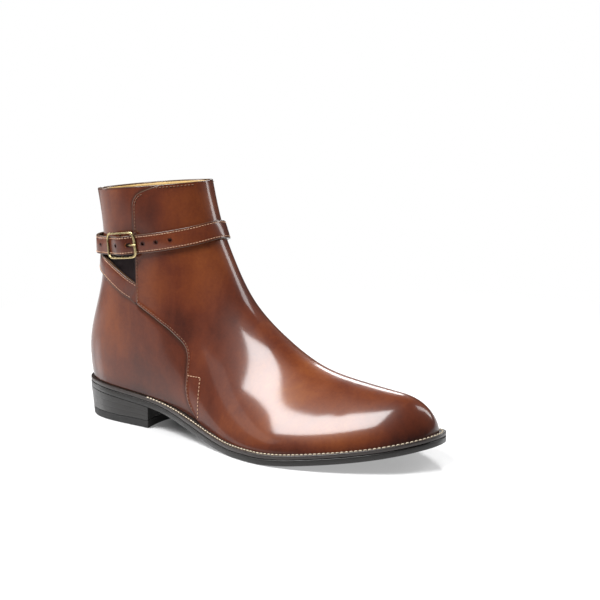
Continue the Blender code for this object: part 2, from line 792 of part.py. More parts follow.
def make_strap(route):
    """The strap from its root at the panel seam, once and a half round, with its holes."""
    near = np.abs(route.length - route.buckle) < BUCKLE_LENGTH
    keep = near | (np.arange(len(route.length)) % 3 == 0)
    keep[-1] = True
    at = route.length[keep]
    inner = strap_lift(route, at)
    trim = route.at_turn(ROOT_TURN)
    share = np.clip((at - trim) / STRAP_TAPER, 0, 1)
    thickness = STRAP_ROOT_THICKNESS + (STRAP_THICKNESS - STRAP_ROOT_THICKNESS) * share
    rows = ribbon_rows(route, at, inner, inner + thickness, STRAP_WIDTH, STRAP_ROOT_THICKNESS / 2)
    mesh = tidy_normals(rows_mesh("strap", rows, ring=True))
    strap = new_object("strap", mesh, (0.13, 0.04, 0.017), 0.3)

    seam = PANEL_EDGE[1][0] * SOLE_LENGTH - CLEARANCE
    top = GORE_EDGE[1][1] * COLLAR_HEIGHT + STRAP_WIDTH
    low = GORE_EDGE[1][1] * COLLAR_HEIGHT - 2 * STRAP_WIDTH
    centre = world((seam + STRAP_WIDTH / 2, -BALL_WIDTH / 4, (top + low) / 2))
    size = (STRAP_WIDTH, BALL_WIDTH / 2, top - low)
    bpy.ops.mesh.primitive_cube_add(size=1, location=centre, scale=size)
    trim_box = bpy.context.object
    trim_box.name = "strap root trim"
    bpy.context.collection.objects.unlink(trim_box)
    cutters.objects.link(trim_box)
    trim_box.hide_render = True
    trim_box.display_type = "WIRE"
    combine(strap, trim_box, "DIFFERENCE")

    line = prong_points(route)
    slot = tube("prong slot", line, PRONG_RADIUS + CLEARANCE)
    combine(strap, new_cutter("prong slot", slot), "DIFFERENCE")
    for number in range(-HOLES_TO_TOE, HOLES_TO_HEEL + 1):
        if number:
            at = route.buckle - PRONG_HOLE + number * HOLE_SPACING
            through = route.place(np.array([at, at]), 0.0, np.array([-0.5, 4.0]) * STRAP_THICKNESS)
            hole = tube("hole", through, HOLE_RADIUS)
            combine(strap, new_cutter(f"strap hole {number}", hole), "DIFFERENCE")
    strap.data.shade_smooth()
    return strap


def make_buckle(route):
    """Frame with its centre bar, the prong, and the chape that holds the bar."""
    brass = (0.45, 0.33, 0.15)
    lift = BUCKLE_LIFT + RAIL_WIDTH / 2
    half = np.array([BUCKLE_LENGTH, BUCKLE_HEIGHT]) / 2 - RAIL_WIDTH / 2
    points = []
    for turn, (side, end) in enumerate(((1, 1), (-1, 1), (-1, -1), (1, -1))):
        centre = (half - BUCKLE_CORNER) * (side, end)
        for angle in np.radians(turn * 90 + np.linspace(0, 90, 6)):
            points.append(centre + BUCKLE_CORNER * np.array([math.cos(angle), math.sin(angle)]))
        run = points[-1]
        follow = {0: (-1, 0), 1: (0, -1), 2: (1, 0), 3: (0, 1)}[turn]
        length = 2 * (half - BUCKLE_CORNER)[turn % 2]
        for step in (0.25, 0.5, 0.75):
            points.append(run + np.array(follow) * length * step)
    points = np.array(points)
    wide = 1 + (FRONT_BAR_SCALE - 1) * (points[:, 0] < BUCKLE_CORNER - half[0])
    ring = tube("ring", route.place(route.buckle + points[:, 0], points[:, 1], lift), RAIL_WIDTH / 2, True, wide)
    frame = new_object("buckle_frame", ring, brass, 0.3, 1.0)
    up = np.linspace(-1, 1, 9)
    sag = np.clip((1 - np.abs(up)) / 0.3, 0, 1)
    bar = route.place(route.buckle, up * half[1], lift + (CENTRE_BAR_LIFT - lift) * sag)
    combine(frame, new_cutter("centre bar", tube("centre bar", bar, CENTRE_BAR_RADIUS)), "UNION")
    frame.data.shade_smooth()

    prong = new_object("buckle_prong", tube("buckle_prong", prong_points(route), PRONG_RADIUS), brass, 0.3, 1.0)
    prong.data.shade_smooth()

    bend = CENTRE_BAR_RADIUS + CLEARANCE + CHAPE_THICKNESS / 2
    tail = CLEARANCE - QUARTER_STEP + CHAPE_THICKNESS / 2
    line = [(CHAPE_LENGTH * share, tail) for share in (1.0, 0.8, 0.6, 0.4)]
    line.append((CHAPE_LENGTH * 0.2, (tail + CENTRE_BAR_LIFT - bend) / 2))
    for angle in np.radians(np.linspace(-90, -270, 9)):
        line.append((bend * math.cos(angle), CENTRE_BAR_LIFT + bend * math.sin(angle)))
    line.append((CHAPE_LENGTH * 0.25, tail + CHAPE_THICKNESS + 1.5 * CLEARANCE))
    line = np.array(line)
    run = unit(np.gradient(line, axis=0))
    side = np.stack([-run[:, 1], run[:, 0]], -1) * CHAPE_THICKNESS / 2
    one = line + side
    two = line - side
    rows = []
    for edge, up in ((one, -1), (one, 1), (two, 1), (two, -1)):
        rows.append(route.place(route.buckle + edge[:, 0], up * CHAPE_WIDTH / 2, edge[:, 1]))
    mesh = tidy_normals(rows_mesh("chape", np.stack(rows, 1), ring=True))
    chape = new_object("chape", mesh, (0.13, 0.04, 0.017), 0.35)
    slot = PRONG_RADIUS + CLEARANCE
    across = 2 * (bend + CHAPE_THICKNESS)
    corners = []
    for at in (-across, -across / 3, across / 3, across):
        box = ((-slot, -across), (slot, -across), (slot, 2 * across), (-slot, 2 * across))
        corners.append([route.place(route.buckle + at, up, CENTRE_BAR_LIFT + rise) for up, rise in box])
    opening = tidy_normals(rows_mesh("chape slot", np.array(corners), ring=True))
    combine(chape, new_cutter("chape slot", opening), "DIFFERENCE")


for old in list(bpy.data.objects):
    bpy.data.objects.remove(old)
boot = bpy.data.collections.new("jodhpur boot")
cutters = bpy.data.collections.new("cutters")
bpy.context.scene.collection.children.link(boot)
bpy.context.scene.collection.children.link(cutters)

make_upper()
make_sole()
strap_route = Route()
make_strap(strap_route)
make_buckle(strap_route)
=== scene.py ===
"""Looks of the jodhpur boot: fine leather panels, lining, strap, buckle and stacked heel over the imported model."""
import math

import bmesh
import bpy
import numpy as np
from mathutils import Matrix, Vector

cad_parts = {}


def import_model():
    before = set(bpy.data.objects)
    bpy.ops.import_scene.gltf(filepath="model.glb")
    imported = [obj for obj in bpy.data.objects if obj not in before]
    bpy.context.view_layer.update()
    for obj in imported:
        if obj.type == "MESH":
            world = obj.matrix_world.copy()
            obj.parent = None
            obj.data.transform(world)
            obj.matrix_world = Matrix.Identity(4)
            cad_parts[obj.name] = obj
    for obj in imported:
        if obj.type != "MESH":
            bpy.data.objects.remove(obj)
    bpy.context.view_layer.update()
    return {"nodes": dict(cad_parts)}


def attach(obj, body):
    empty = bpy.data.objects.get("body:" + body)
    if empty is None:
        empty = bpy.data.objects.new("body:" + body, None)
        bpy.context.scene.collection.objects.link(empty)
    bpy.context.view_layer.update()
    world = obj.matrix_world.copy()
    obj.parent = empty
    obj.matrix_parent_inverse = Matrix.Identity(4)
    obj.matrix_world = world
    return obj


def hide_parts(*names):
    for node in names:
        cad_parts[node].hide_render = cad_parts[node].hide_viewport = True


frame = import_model()

# Driving sizes
SOLE_LENGTH = 0.304
BALL_WIDTH = 0.104
COLLAR_HEIGHT = 0.176
CLEARANCE = 0.0003

# Sole unit
WELT_THICKNESS = 0.0026
OUTSOLE_THICKNESS = 0.0042
TOP_PIECE_THICKNESS = 0.0055
WELT_OVERHANG = 0.0046
SEAT_OVERHANG = 0.0012
HEEL_LENGTH = 0.081
HEEL_TAPER = 0.0018
BREAST_HOLLOW = 0.006
EDGE_ROUND = 0.0007

# Wall of the upper, and the steps down from its front panel to its quarters and to its gore
FRONT_WALL = 0.0029
QUARTER_STEP = 0.0009
GORE_STEP = 0.0017

# Rounding of the upper's ends
TOE_CLEAR_OF_EDGE = 0.0050
TOE_REACH = 0.079
TOE_WALL_REACH = 0.030
BACK_REACH = 0.056

# How finely the sole's line and the corners of outlines are divided
EDGE_POINTS = 150
CORNER_STEPS = 14

# Strap, wound once and a half round the ankle
STRAP_WIDTH = 0.0132
STRAP_THICKNESS = 0.0022
STRAP_ROOT_THICKNESS = 0.0006
STRAP_TAPER = 0.009
HOLE_RADIUS = 0.0011
HOLE_SPACING = 0.0107
HOLES_TO_TOE = 3
HOLES_TO_HEEL = 3
PRONG_HOLE = 0.0078
ANKLE_AXIS = 0.062

# Buckle and prong, and where the strap comes out of the front panel and passes its other edge
BUCKLE_LENGTH = 0.0264
BUCKLE_HEIGHT = 0.0188
BUCKLE_CORNER = 0.0036
BUCKLE_TURN = 450.0
BUCKLE_LIFT = 0.0030
RAIL_WIDTH = 0.0013
CENTRE_BAR_LIFT = 0.0013
CENTRE_BAR_RADIUS = 0.0006
PRONG_RADIUS = 0.00065
ROOT_TURN = 76.0
PANEL_TURN = 70.0

# The prong's rise from the centre bar to the top of the front bar: shares of the way there, of the rise
PRONG_RISE = (
    (0.20, 0.02),
    (0.36, 0.10),
    (0.54, 0.42),
    (0.72, 0.78),
    (0.95, 1.00),
    (1.03, 0.98),
)

# Height of the sole's underside: share of the sole length, share of the collar height
UNDERSIDE = (
    (-0.030, 0.1180),
    (0.060, 0.1170),
    (0.160, 0.1060),
    (0.260, 0.0905),
    (0.360, 0.0640),
    (0.460, 0.0275),
    (0.560, 0.0020),
    (0.640, -0.0010),
    (0.720, 0.0065),
    (0.780, 0.0190),
    (0.860, 0.0380),
    (0.940, 0.0620),
    (1.040, 0.1040),
)

# Line of the back: share of the collar height, share of the sole length
BACK_LINE = (
    (0.120, 0.0135),
    (0.230, 0.0050),
    (0.320, 0.0065),
    (0.430, 0.0240),
    (0.550, 0.0480),
    (0.660, 0.0600),
    (0.780, 0.0625),
    (0.890, 0.0585),
    (1.000, 0.0500),
    (1.080, 0.0420),
)

# Sections of the upper from toe to collar. Each lies in a plane square to the side view, that leans back from
# the vertical. along and height place its crest, depth is its reach below the crest, crest to foot are its half
# widths on the way down, and swing is the sideways shift of its crest and foot towards the inner side.
# along and depth are shares of the sole length, height of the collar height, and the rest of the ball width.
SECTION_COLUMNS = "along height lean depth crest shoulder side foot swing_crest swing_foot"
SECTIONS = (
    (0.996, 0.240, 0.0, 0.091, 0.365, 0.415, 0.415, 0.300, 0.060, 0.048),
    (0.892, 0.259, 0.0, 0.126, 0.405, 0.455, 0.475, 0.340, 0.033, 0.010),
    (0.782, 0.281, 2.0, 0.162, 0.430, 0.520, 0.590, 0.395, 0.021, -0.024),
    (0.673, 0.319, 6.0, 0.207, 0.470, 0.585, 0.685, 0.420, 0.026, -0.034),
    (0.574, 0.408, 15.0, 0.263, 0.480, 0.495, 0.570, 0.348, 0.032, -0.038),
    (0.488, 0.535, 33.0, 0.341, 0.510, 0.475, 0.417, 0.252, 0.023, -0.024),
    (0.430, 0.695, 55.0, 0.533, 0.665, 0.480, 0.390, 0.290, 0.015, 0.0),
    (0.392, 0.845, 72.0, 0.368, 0.615, 0.458, 0.402, 0.267, 0.006, 0.0),
    (0.367, 1.000, 85.0, 0.342, 0.632, 0.483, 0.427, 0.280, 0.006, 0.0),
    (0.358, 1.090, 90.0, 0.335, 0.648, 0.500, 0.442, 0.310, 0.012, 0.0),
)
COLLAR_STATION = 8

# Rear edge of the front panel in the side view, from collar to welt: share of the sole length, of the collar
# height, and the radius of the corner there as a share of the sole length
PANEL_EDGE = (
    (0.335, 1.010, 0.000),
    (0.234, 0.945, 0.040),
    (0.234, 0.509, 0.015),
    (0.334, 0.416, 0.080),
    (0.391, 0.352, 0.050),
    (0.393, 0.155, 0.080),
    (0.520, -0.060, 0.000),
)

# Gore between the quarter's top edge and the strap, in the side view: shares and radius as above
GORE_EDGE = (
    (0.234, 0.765, 0.000),
    (0.234, 0.576, 0.000),
    (0.185, 0.612, 0.100),
    (0.112, 0.672, 0.000),
    (0.098, 0.732, 0.000),
)

# Height of the strap's middle round the ankle: degrees turned from the toe by way of the outer side, share of
# the collar height
STRAP_ROUTE = (
    (64.0, 0.528),
    (72.0, 0.545),
    (94.0, 0.585),
    (111.0, 0.616),
    (128.0, 0.643),
    (150.0, 0.664),
    (180.0, 0.685),
    (221.0, 0.716),
    (270.0, 0.742),
    (319.0, 0.766),
    (346.0, 0.793),
    (360.0, 0.805),
    (374.0, 0.793),
    (401.0, 0.766),
    (440.0, 0.747),
    (497.0, 0.731),
    (540.0, 0.725),
    (572.0, 0.723),
)

# How far the strap stands off the front panel's level as it weaves through the buckle and laps its first turn:
# distance past the centre bar as a share of the buckle's length, lift as a share of the strap's thickness
STRAP_LIFT = (
    (-0.70, 0.00),
    (-0.50, 0.00),
    (-0.43, 0.10),
    (-0.36, 0.43),
    (-0.27, 1.10),
    (-0.18, 1.72),
    (-0.09, 1.82),
    (0.00, 1.68),
    (0.11, 1.34),
    (0.21, 0.80),
    (0.32, 0.38),
    (0.43, 0.14),
    (0.54, 0.10),
    (0.79, 0.14),
    (1.10, 0.84),
    (1.40, 0.86),
)


def spline(knots, values):
    """A natural cubic spline through the values, straight past both ends. Values may have several columns."""
    x = np.asarray(knots, float)
    y = np.asarray(values, float)
    step = np.diff(x)
    slope = (np.diff(y, axis=0).T / step).T
    count = len(x)
    system = np.eye(count)
    right = np.zeros_like(y)
    for i in range(1, count - 1):
        system[i, i - 1] = step[i - 1]
        system[i, i] = 2 * (step[i - 1] + step[i])
        system[i, i + 1] = step[i]
        right[i] = 6 * (slope[i] - slope[i - 1])
    bend = np.linalg.solve(system, right)

    def value(at):
        at = np.asarray(at, float)
        inside = np.clip(at, x[0], x[-1])
        i = np.clip(np.searchsorted(x, inside, side="right") - 1, 0, count - 2)
        shape = at.shape + (1,) * (y.ndim - 1)
        a = ((x[i + 1] - inside) / step[i]).reshape(shape)
        b = 1 - a
        h = step[i].reshape(shape)
        found = a * y[i] + b * y[i + 1] + ((a**3 - a) * bend[i] + (b**3 - b) * bend[i + 1]) * h**2 / 6
        run = (y[i + 1] - y[i]) / h + ((1 - 3 * a**2) * bend[i] + (3 * b**2 - 1) * bend[i + 1]) * h / 6
        return found + run * (at - inside).reshape(shape)

    return value


underside_line = spline(
    [row[0] * SOLE_LENGTH for row in UNDERSIDE], [row[1] * COLLAR_HEIGHT for row in UNDERSIDE]
)
back_along = spline(
    [row[0] * COLLAR_HEIGHT for row in BACK_LINE], [row[1] * SOLE_LENGTH for row in BACK_LINE]
)
COLUMN_UNITS = (SOLE_LENGTH, COLLAR_HEIGHT, math.pi / 180, SOLE_LENGTH) + 6 * (BALL_WIDTH,)
section_columns = spline(
    range(len(SECTIONS)), [[v * unit for v, unit in zip(row, COLUMN_UNITS)] for row in SECTIONS]
)
TOE_TIP = SOLE_LENGTH - TOE_CLEAR_OF_EDGE


def end_term(distance, reach):
    """Square of the width's share near an end of the form: 0 at the end, 1 from the reach on, below 0 outside."""
    return 1 - (1 - np.minimum(distance / reach, 1)) ** 3


def rounded_end(distance, reach):
    """0 at an end of the form, rising like the side of a round nose to 1 at the reach."""
    return np.sqrt(np.maximum(end_term(distance, reach), 0))


def underside(along):
    """Height of the outsole's underside, flat on the floor under the ball of the foot."""
    return np.maximum(underside_line(along), 0)


def welt_top(along):
    """Height of the welt's top."""
    return underside(along) + OUTSOLE_THICKNESS + CLEARANCE + WELT_THICKNESS


def upper_edge(along):
    """Height of the upper's lower edge, clear of the welt also where the wall leans."""
    return welt_top(along) + 2 * CLEARANCE


def section(station):
    """The named columns of the section at a station, a row number of the table that may be a fraction."""
    row = dict(zip(SECTION_COLUMNS.split(), np.moveaxis(section_columns(station), -1, 0)))
    row["along"] = np.minimum(row["along"], TOE_TIP)
    wall = rounded_end(TOE_TIP - row["along"], TOE_WALL_REACH)
    low = upper_edge(row["along"])
    row["height"] = low + (row["height"] - low) * wall
    row["depth"] = np.maximum(row["depth"] * wall, 1e-6)
    return row


COLLAR = {name: float(column[0]) for name, column in section(np.array([float(COLLAR_STATION)])).items()}


def station_through(along, height):
    """The station whose section plane passes through a point of the side view."""
    along, height = np.broadcast_arrays(np.asarray(along, float), np.asarray(height, float))
    low = np.full(along.shape, -1.5)
    high = np.full(along.shape, len(SECTIONS) - 0.5)
    for _ in range(40):
        middle = (low + high) / 2
        row = section_columns(middle)
        lean = row[..., 2]
        ahead = (along - row[..., 0]) * np.cos(lean) - (height - row[..., 1]) * np.sin(lean)
        low = np.where(ahead > 0, low, middle)
        high = np.where(ahead > 0, middle, high)
    return (low + high) / 2


def fullness(along, height):
    """Square of the upper's half width at a point of the side view, below 0 outside, and its middle's shift."""
    along, height = np.broadcast_arrays(np.asarray(along, float), np.asarray(height, float))
    row = section(station_through(along, height))
    below = (row["along"] - along) * np.sin(row["lean"]) + (row["height"] - height) * np.cos(row["lean"])
    share = below / row["depth"]
    inner = np.maximum(share, 0)
    rest = 1 - inner
    width = (
        row["crest"] * rest**3
        + 3 * row["shoulder"] * inner * rest**2
        + 3 * row["side"] * inner**2 * rest
        + row["foot"] * inner**3
    )
    square = width**2 * share * end_term(along - back_along(height), BACK_REACH)
    square = square * end_term(TOE_TIP - along, TOE_REACH)
    middle = row["swing_crest"] + (row["swing_foot"] - row["swing_crest"]) * np.clip(share, 0, 1.2)
    return square, middle


def half_width(along, height):
    """Half width of the upper, and the sideways shift of its middle, at a point of the side view."""
    square, middle = fullness(along, height)
    width = np.sqrt(np.maximum(square, 0))
    return width, middle


def bisect(low, high, beyond):
    """Where beyond() turns true between low and high, for whole arrays at once."""
    low = np.array(low, float)
    high = np.array(high, float)
    for _ in range(45):
        middle = (low + high) / 2
        past = beyond(middle)
        high = np.where(past, middle, high)
        low = np.where(past, low, middle)
    return (low + high) / 2


def back_corner():
    """The point of the side view where the line of the back meets the upper's lower edge."""
    height = bisect(0.0, COLLAR_HEIGHT / 2, lambda h: h > upper_edge(back_along(h)))
    return float(back_along(height)), float(height)


def feather_line():
    """Plan of the upper's lower edge: from the heel's rear by the outer side to the toe, and back."""
    rear, _ = back_corner()
    share = (1 - np.cos(np.pi * np.arange(EDGE_POINTS + 1) / EDGE_POINTS)) / 2
    along = rear + (TOE_TIP - rear) * share
    width, middle = half_width(along, upper_edge(along))
    outer = np.stack([along, middle - width], -1)
    inner = np.stack([along, middle + width], -1)
    return np.concatenate([outer, inner[-2:0:-1]])


def beside_feather(distance):
    """The feather line moved outwards in plan by a distance, which may differ from point to point."""
    line = feather_line()
    run = np.roll(line, -1, axis=0) - np.roll(line, 1, axis=0)
    run = run / np.linalg.norm(run, axis=1, keepdims=True)
    outwards = np.stack([run[:, 1], -run[:, 0]], -1)
    return line + outwards * np.broadcast_to(distance, len(line))[:, None]


def sole_line(inset=0.0):
    """Plan of the sole's edge, or a line inside it: close to the upper at the heel, a welt's width before it."""
    share = np.clip((feather_line()[:, 0] - HEEL_LENGTH) / (HEEL_LENGTH * 0.6), 0, 1)
    share = share**2 * (3 - 2 * share)
    return beside_feather(SEAT_OVERHANG + (WELT_OVERHANG - SEAT_OVERHANG) * share - inset)


ORIGIN = np.array([*((sole_line().min(axis=0) + sole_line().max(axis=0)) / 2), 0.0])


def world(points):
    """Points measured along from the sole's rear edge, in the part's own frame."""
    return np.asarray(points, float) - ORIGIN


def corner_path(rows):
    """Points of a side-view outline, with its corners rounded to their radii."""
    corners = [(np.array([row[0] * SOLE_LENGTH, row[1] * COLLAR_HEIGHT]), row[2] * SOLE_LENGTH) for row in rows]
    points = []
    for i, (corner, radius) in enumerate(corners):
        if radius == 0:
            points.append(corner)
            continue
        before = corners[i - 1][0] - corner
        after = corners[i + 1][0] - corner
        before = before / np.linalg.norm(before)
        after = after / np.linalg.norm(after)
        half = math.acos(np.clip(before @ after, -1, 1)) / 2
        reach = radius / math.tan(half)
        centre = corner + (before + after) / np.linalg.norm(before + after) * radius / math.sin(half)
        start = corner + before * reach - centre
        end = corner + after * reach - centre
        turn = math.pi - 2 * half
        for step in np.linspace(0, 1, CORNER_STEPS + 1):
            blend = (math.sin((1 - step) * turn) * start + math.sin(step * turn) * end) / math.sin(turn)
            points.append(centre + blend)
    return points


def off_surface(points):
    """Distance of points off the front panel's surface, to first order, and the way out."""
    def level(p):
        square, middle = fullness(p[..., 0], p[..., 2])
        return (p[..., 1] - middle) ** 2 - square

    step = 1e-4
    slope = np.stack([level(points + e) - level(points - e) for e in np.eye(3) * step], -1) / (2 * step)
    size = np.linalg.norm(slope, axis=-1)
    return level(points) / size, slope / size[..., None]


def unit(vectors):
    return vectors / np.linalg.norm(vectors, axis=-1, keepdims=True)


class Route:
    """The strap's way over the upper: a point at a distance round, a height up the strap, and a lift off it."""

    def __init__(self):
        turned = [row[0] for row in STRAP_ROUTE]
        height = spline(turned, [row[1] * COLLAR_HEIGHT for row in STRAP_ROUTE])
        self.turned = np.arange(turned[0], turned[-1] + 0.1, 2.0)
        angle = np.radians(self.turned)
        way = np.stack([np.cos(angle), -np.sin(angle)], -1)
        level = height(self.turned)

        def outside(reach):
            along = ANKLE_AXIS + reach * way[:, 0]
            square, middle = fullness(along, level)
            return (reach * way[:, 1] - middle) ** 2 > square

        reach = bisect(np.zeros(len(angle)), np.full(len(angle), SOLE_LENGTH / 3), outside)
        self.centre = np.stack([ANKLE_AXIS + reach * way[:, 0], reach * way[:, 1], level], -1)
        run = np.linalg.norm(np.diff(self.centre, axis=0), axis=1)
        self.length = np.concatenate([[0], np.cumsum(run)])
        self.out = off_surface(self.centre)[1]
        tangent = unit(np.gradient(self.centre, self.length, axis=0))
        self.up = unit(np.cross(tangent, self.out))
        seat = []
        for share in (-1, -0.5, 0, 0.5, 1):
            rise = np.zeros(len(angle))
            for _ in range(4):
                point = self.centre + self.up * share * STRAP_WIDTH / 2 + self.out * rise[:, None]
                gap, normal = off_surface(point)
                rise = rise - gap / np.maximum((normal * self.out).sum(-1), 0.5)
            seat.append(rise)
        seat = np.array(seat)
        flat = seat[0] + (seat[-1] - seat[0]) * np.linspace(0, 1, 5)[:, None]
        proud = np.maximum(seat - flat, 0).max(axis=0)
        self.low = seat[0] + proud
        self.high = seat[-1] + proud
        self.buckle = self.at_turn(BUCKLE_TURN)

    def at_turn(self, degrees):
        """Distance round at an angle turned from the toe."""
        return float(np.interp(degrees, self.turned, self.length))

    def read(self, values, at):
        return np.stack([np.interp(at, self.length, column) for column in values.T], -1)

    def place(self, at, up, lift):
        """Points at distances round, heights up the strap from its middle, and lifts off the front panel."""
        at, up, lift = np.broadcast_arrays(np.asarray(at, float), up, lift)
        share = up / STRAP_WIDTH + 0.5
        low = np.interp(at, self.length, self.low)
        high = np.interp(at, self.length, self.high)
        rise = lift + low + (high - low) * share
        out = unit(self.read(self.out, at))
        upwards = unit(self.read(self.up, at))
        return self.read(self.centre, at) + upwards * up[..., None] + out * rise[..., None]


def strap_lift(route, at):
    """Lift of the strap's inner face off the front panel's surface."""
    shares = spline([row[0] for row in STRAP_LIFT], [row[1] for row in STRAP_LIFT])
    past = np.clip((at - route.buckle) / BUCKLE_LENGTH, STRAP_LIFT[0][0], STRAP_LIFT[-1][0])
    lift = np.maximum(shares(past), 0) * STRAP_THICKNESS
    front = route.at_turn(360 - PANEL_TURN)
    on_quarter = np.clip((front - at) / STRAP_TAPER, 0, 1)
    return lift - QUARTER_STEP * on_quarter + CLEARANCE


# Sizes of the fine pieces
FINE = 1.0     # share of the divisions
LEATHER = 0.0011
PANEL_LAP = 0.0022
LINING_TOP = 0.007
STITCH_RADIUS = 0.00028
THREAD_LIFT = 0.00012
THREAD_FROM_EDGE = 0.0019
THREAD_BELOW_RIM = 0.0016
WELT_ROUND = 0.0006


def count(number):
    return max(2, int(round(number * FINE)))


def smooth_step(value):
    value = np.clip(value, 0, 1)
    return value * value * (3 - 2 * value)


def rest_of_piece(piece, slot, *nodes):
    """Says what a piece rides on and the nodes that it stands for; the slot, its finish, is not used."""
    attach(piece, "root")
    if nodes:
        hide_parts(*nodes)
    return piece


def linked(name, data):
    """A new object in the scene for a mesh, light or camera."""
    made = bpy.data.objects.new(name, data)
    bpy.context.scene.collection.objects.link(made)
    return made


def mesh_piece(name, points, faces, material, marks=None, sharp=None):
    """A smooth piece from points in the part's frame. Marks are a colour per point, for its material."""
    mesh = bpy.data.meshes.new(name)
    mesh.from_pydata([tuple(p) for p in points], [], [tuple(int(i) for i in f) for f in faces])
    if marks is not None:
        layer = mesh.color_attributes.new("marks", "FLOAT_COLOR", "POINT")
        values = np.ones((len(points), 4), np.float32)
        values[:, : marks.shape[1]] = marks
        layer.data.foreach_set("color", values.ravel())
    builder = bmesh.new()
    builder.from_mesh(mesh)
    bmesh.ops.remove_doubles(builder, verts=builder.verts, dist=2e-6)
    bmesh.ops.dissolve_degenerate(builder, edges=builder.edges, dist=1e-6)
    bmesh.ops.recalc_face_normals(builder, faces=builder.faces)
    builder.to_mesh(mesh)
    builder.free()
    mesh.shade_smooth()
    if sharp is not None:
        mesh.set_sharp_from_angle(angle=math.radians(sharp))
    mesh.materials.append(material)
    return linked(name, mesh)


def grid_faces(rows, columns, ring=False, closed=False, start=0):
    """Quads between rows of points. A ring joins each row's ends, closed joins the last row to the first."""
    i = np.arange(rows if closed else rows - 1)[:, None]
    j = np.arange(columns if ring else columns - 1)[None, :]
    here = i * columns
    there = ((i + 1) % rows) * columns
    following = (j + 1) % columns
    faces = np.stack([here + j, here + following, there + following, there + j], -1).reshape(-1, 4)
    return faces + start


def tube_faces(rows, wide):
    """Quads between closed loops of points, with one face over each end."""
    last = (rows - 1) * wide
    ends = [tuple(range(wide))[::-1], tuple(range(last, last + wide))]
    return [tuple(face) for face in grid_faces(rows, wide, True)] + ends


def gathered(parts):
    """Several lists of points and faces as one."""
    points, faces = [], []
    for more, more_faces in parts:
        faces += [tuple(i + len(points) for i in face) for face in more_faces]
        points += [tuple(p) for p in more]
    return points, faces


def grids_piece(name, grids, marks, material):
    """A smooth piece from grids of points of one size, measured from the sole's rear edge, with the same marks."""
    rows, columns = marks.shape[:2]
    faces = [grid_faces(rows, columns, start=i * rows * columns) for i in range(len(grids))]
    points = world(np.array(grids)).reshape(-1, 3)
    marks = np.tile(marks.reshape(-1, marks.shape[-1]), (len(grids), 1))
    return mesh_piece(name, points, np.concatenate(faces), material, marks)


def marks_of(mesh):
    """The marks of a mesh, four numbers for each point."""
    values = np.empty(len(mesh.vertices) * 4, np.float32)
    mesh.color_attributes["marks"].data.foreach_get("color", values)
    return values.reshape(-1, 4)


# The panels of the upper

EDGE_LINE = np.array(corner_path(PANEL_EDGE))
BEHIND = np.array(
    [(EDGE_LINE[-1][0], -0.1), (-0.1, -0.1), (-0.1, COLLAR_HEIGHT + 0.1), (EDGE_LINE[0][0], COLLAR_HEIGHT + 0.1)]
)
GORE_LINE = np.array(corner_path(GORE_EDGE))


def inside_outline(along, height, outline):
    """Whether points of the side view are inside a closed outline."""
    found = np.zeros(np.shape(along), bool)
    for (x0, z0), (x1, z1) in zip(outline, np.roll(outline, -1, axis=0)):
        if z0 == z1:
            continue
        crosses = (z0 > height) != (z1 > height)
        found ^= crosses & (along < x0 + (height - z0) / (z1 - z0) * (x1 - x0))
    return found


def line_distance(along, height, line):
    """Distance of points of the side view from an open line."""
    best = np.full(np.shape(along), 1.0)
    for (x0, z0), (x1, z1) in zip(line[:-1], line[1:]):
        dx, dz = x1 - x0, z1 - z0
        share = np.clip(((along - x0) * dx + (height - z0) * dz) / (dx * dx + dz * dz), 0, 1)
        best = np.minimum(best, np.hypot(along - x0 - share * dx, height - z0 - share * dz))
    return best


def ahead_of_edge(along, height):
    """Distance in front of the front panel's edge, below 0 behind it."""
    distance = line_distance(along, height, EDGE_LINE)
    outline = np.concatenate([EDGE_LINE, BEHIND])
    return np.where(inside_outline(along, height, outline), -distance, distance)


def crest_bisect(low, high, beyond):
    """The station, from low to high, at whose crest beyond(along, height) turns true."""
    def test(at):
        row = section(at)
        return beyond(row["along"], row["height"])

    return bisect(low, high, test)


def below_collar(distances):
    """The stations whose crests lie given distances below the collar's."""
    low = np.full(len(distances), 6.0)
    return crest_bisect(low, low + 3, lambda along, height: height > COLLAR["height"] - distances)


def row_paths(at):
    """For stations: a function of the reach that gives the side view's point, and the full reach."""
    row = section(at)
    back = -np.sin(row["lean"])[:, None]
    down = -np.cos(row["lean"])[:, None]

    def point(reach):
        return row["along"][:, None] + back * reach, row["height"][:, None] + down * reach

    def outside(reach):
        along, height = point(reach)
        return (height < upper_edge(along)) | (along < back_along(height))

    full = bisect(np.zeros((len(at), 1)), np.full((len(at), 1), COLLAR_HEIGHT * 1.2), outside)
    return point, full


def surface(along, height, side, level):
    """Points of the upper's surface on one side, moved off it by a level."""
    width, middle = half_width(along, height)
    points = np.stack([along, middle + side * width, height], -1)
    out = off_surface(points)[1]
    bad = ~np.isfinite(out).all(-1)
    out[bad] = (1.0, 0.0, 0.0)
    return points + out * np.asarray(level)[..., None]


# Soft creases across the vamp, where the lasted wall gives: from and to in the side view, half width and depth,
# all metres
CREASES = (
    ((0.238, 0.0440), (0.246, 0.0370), 0.0036, 0.00009),
    ((0.228, 0.0420), (0.232, 0.0360), 0.0036, 0.00006),
)


def relief(along, height):
    """How far the leather's surface gives at the creases."""
    total = np.zeros(np.shape(along))
    for start, end, width, depth in CREASES:
        line = np.array([start, end])
        away = line_distance(along, height, line)
        total -= depth * np.exp(-((away / width) ** 2))
        total += depth * 0.45 * np.exp(-(((away - 2.1 * width) / width) ** 2))
    return total


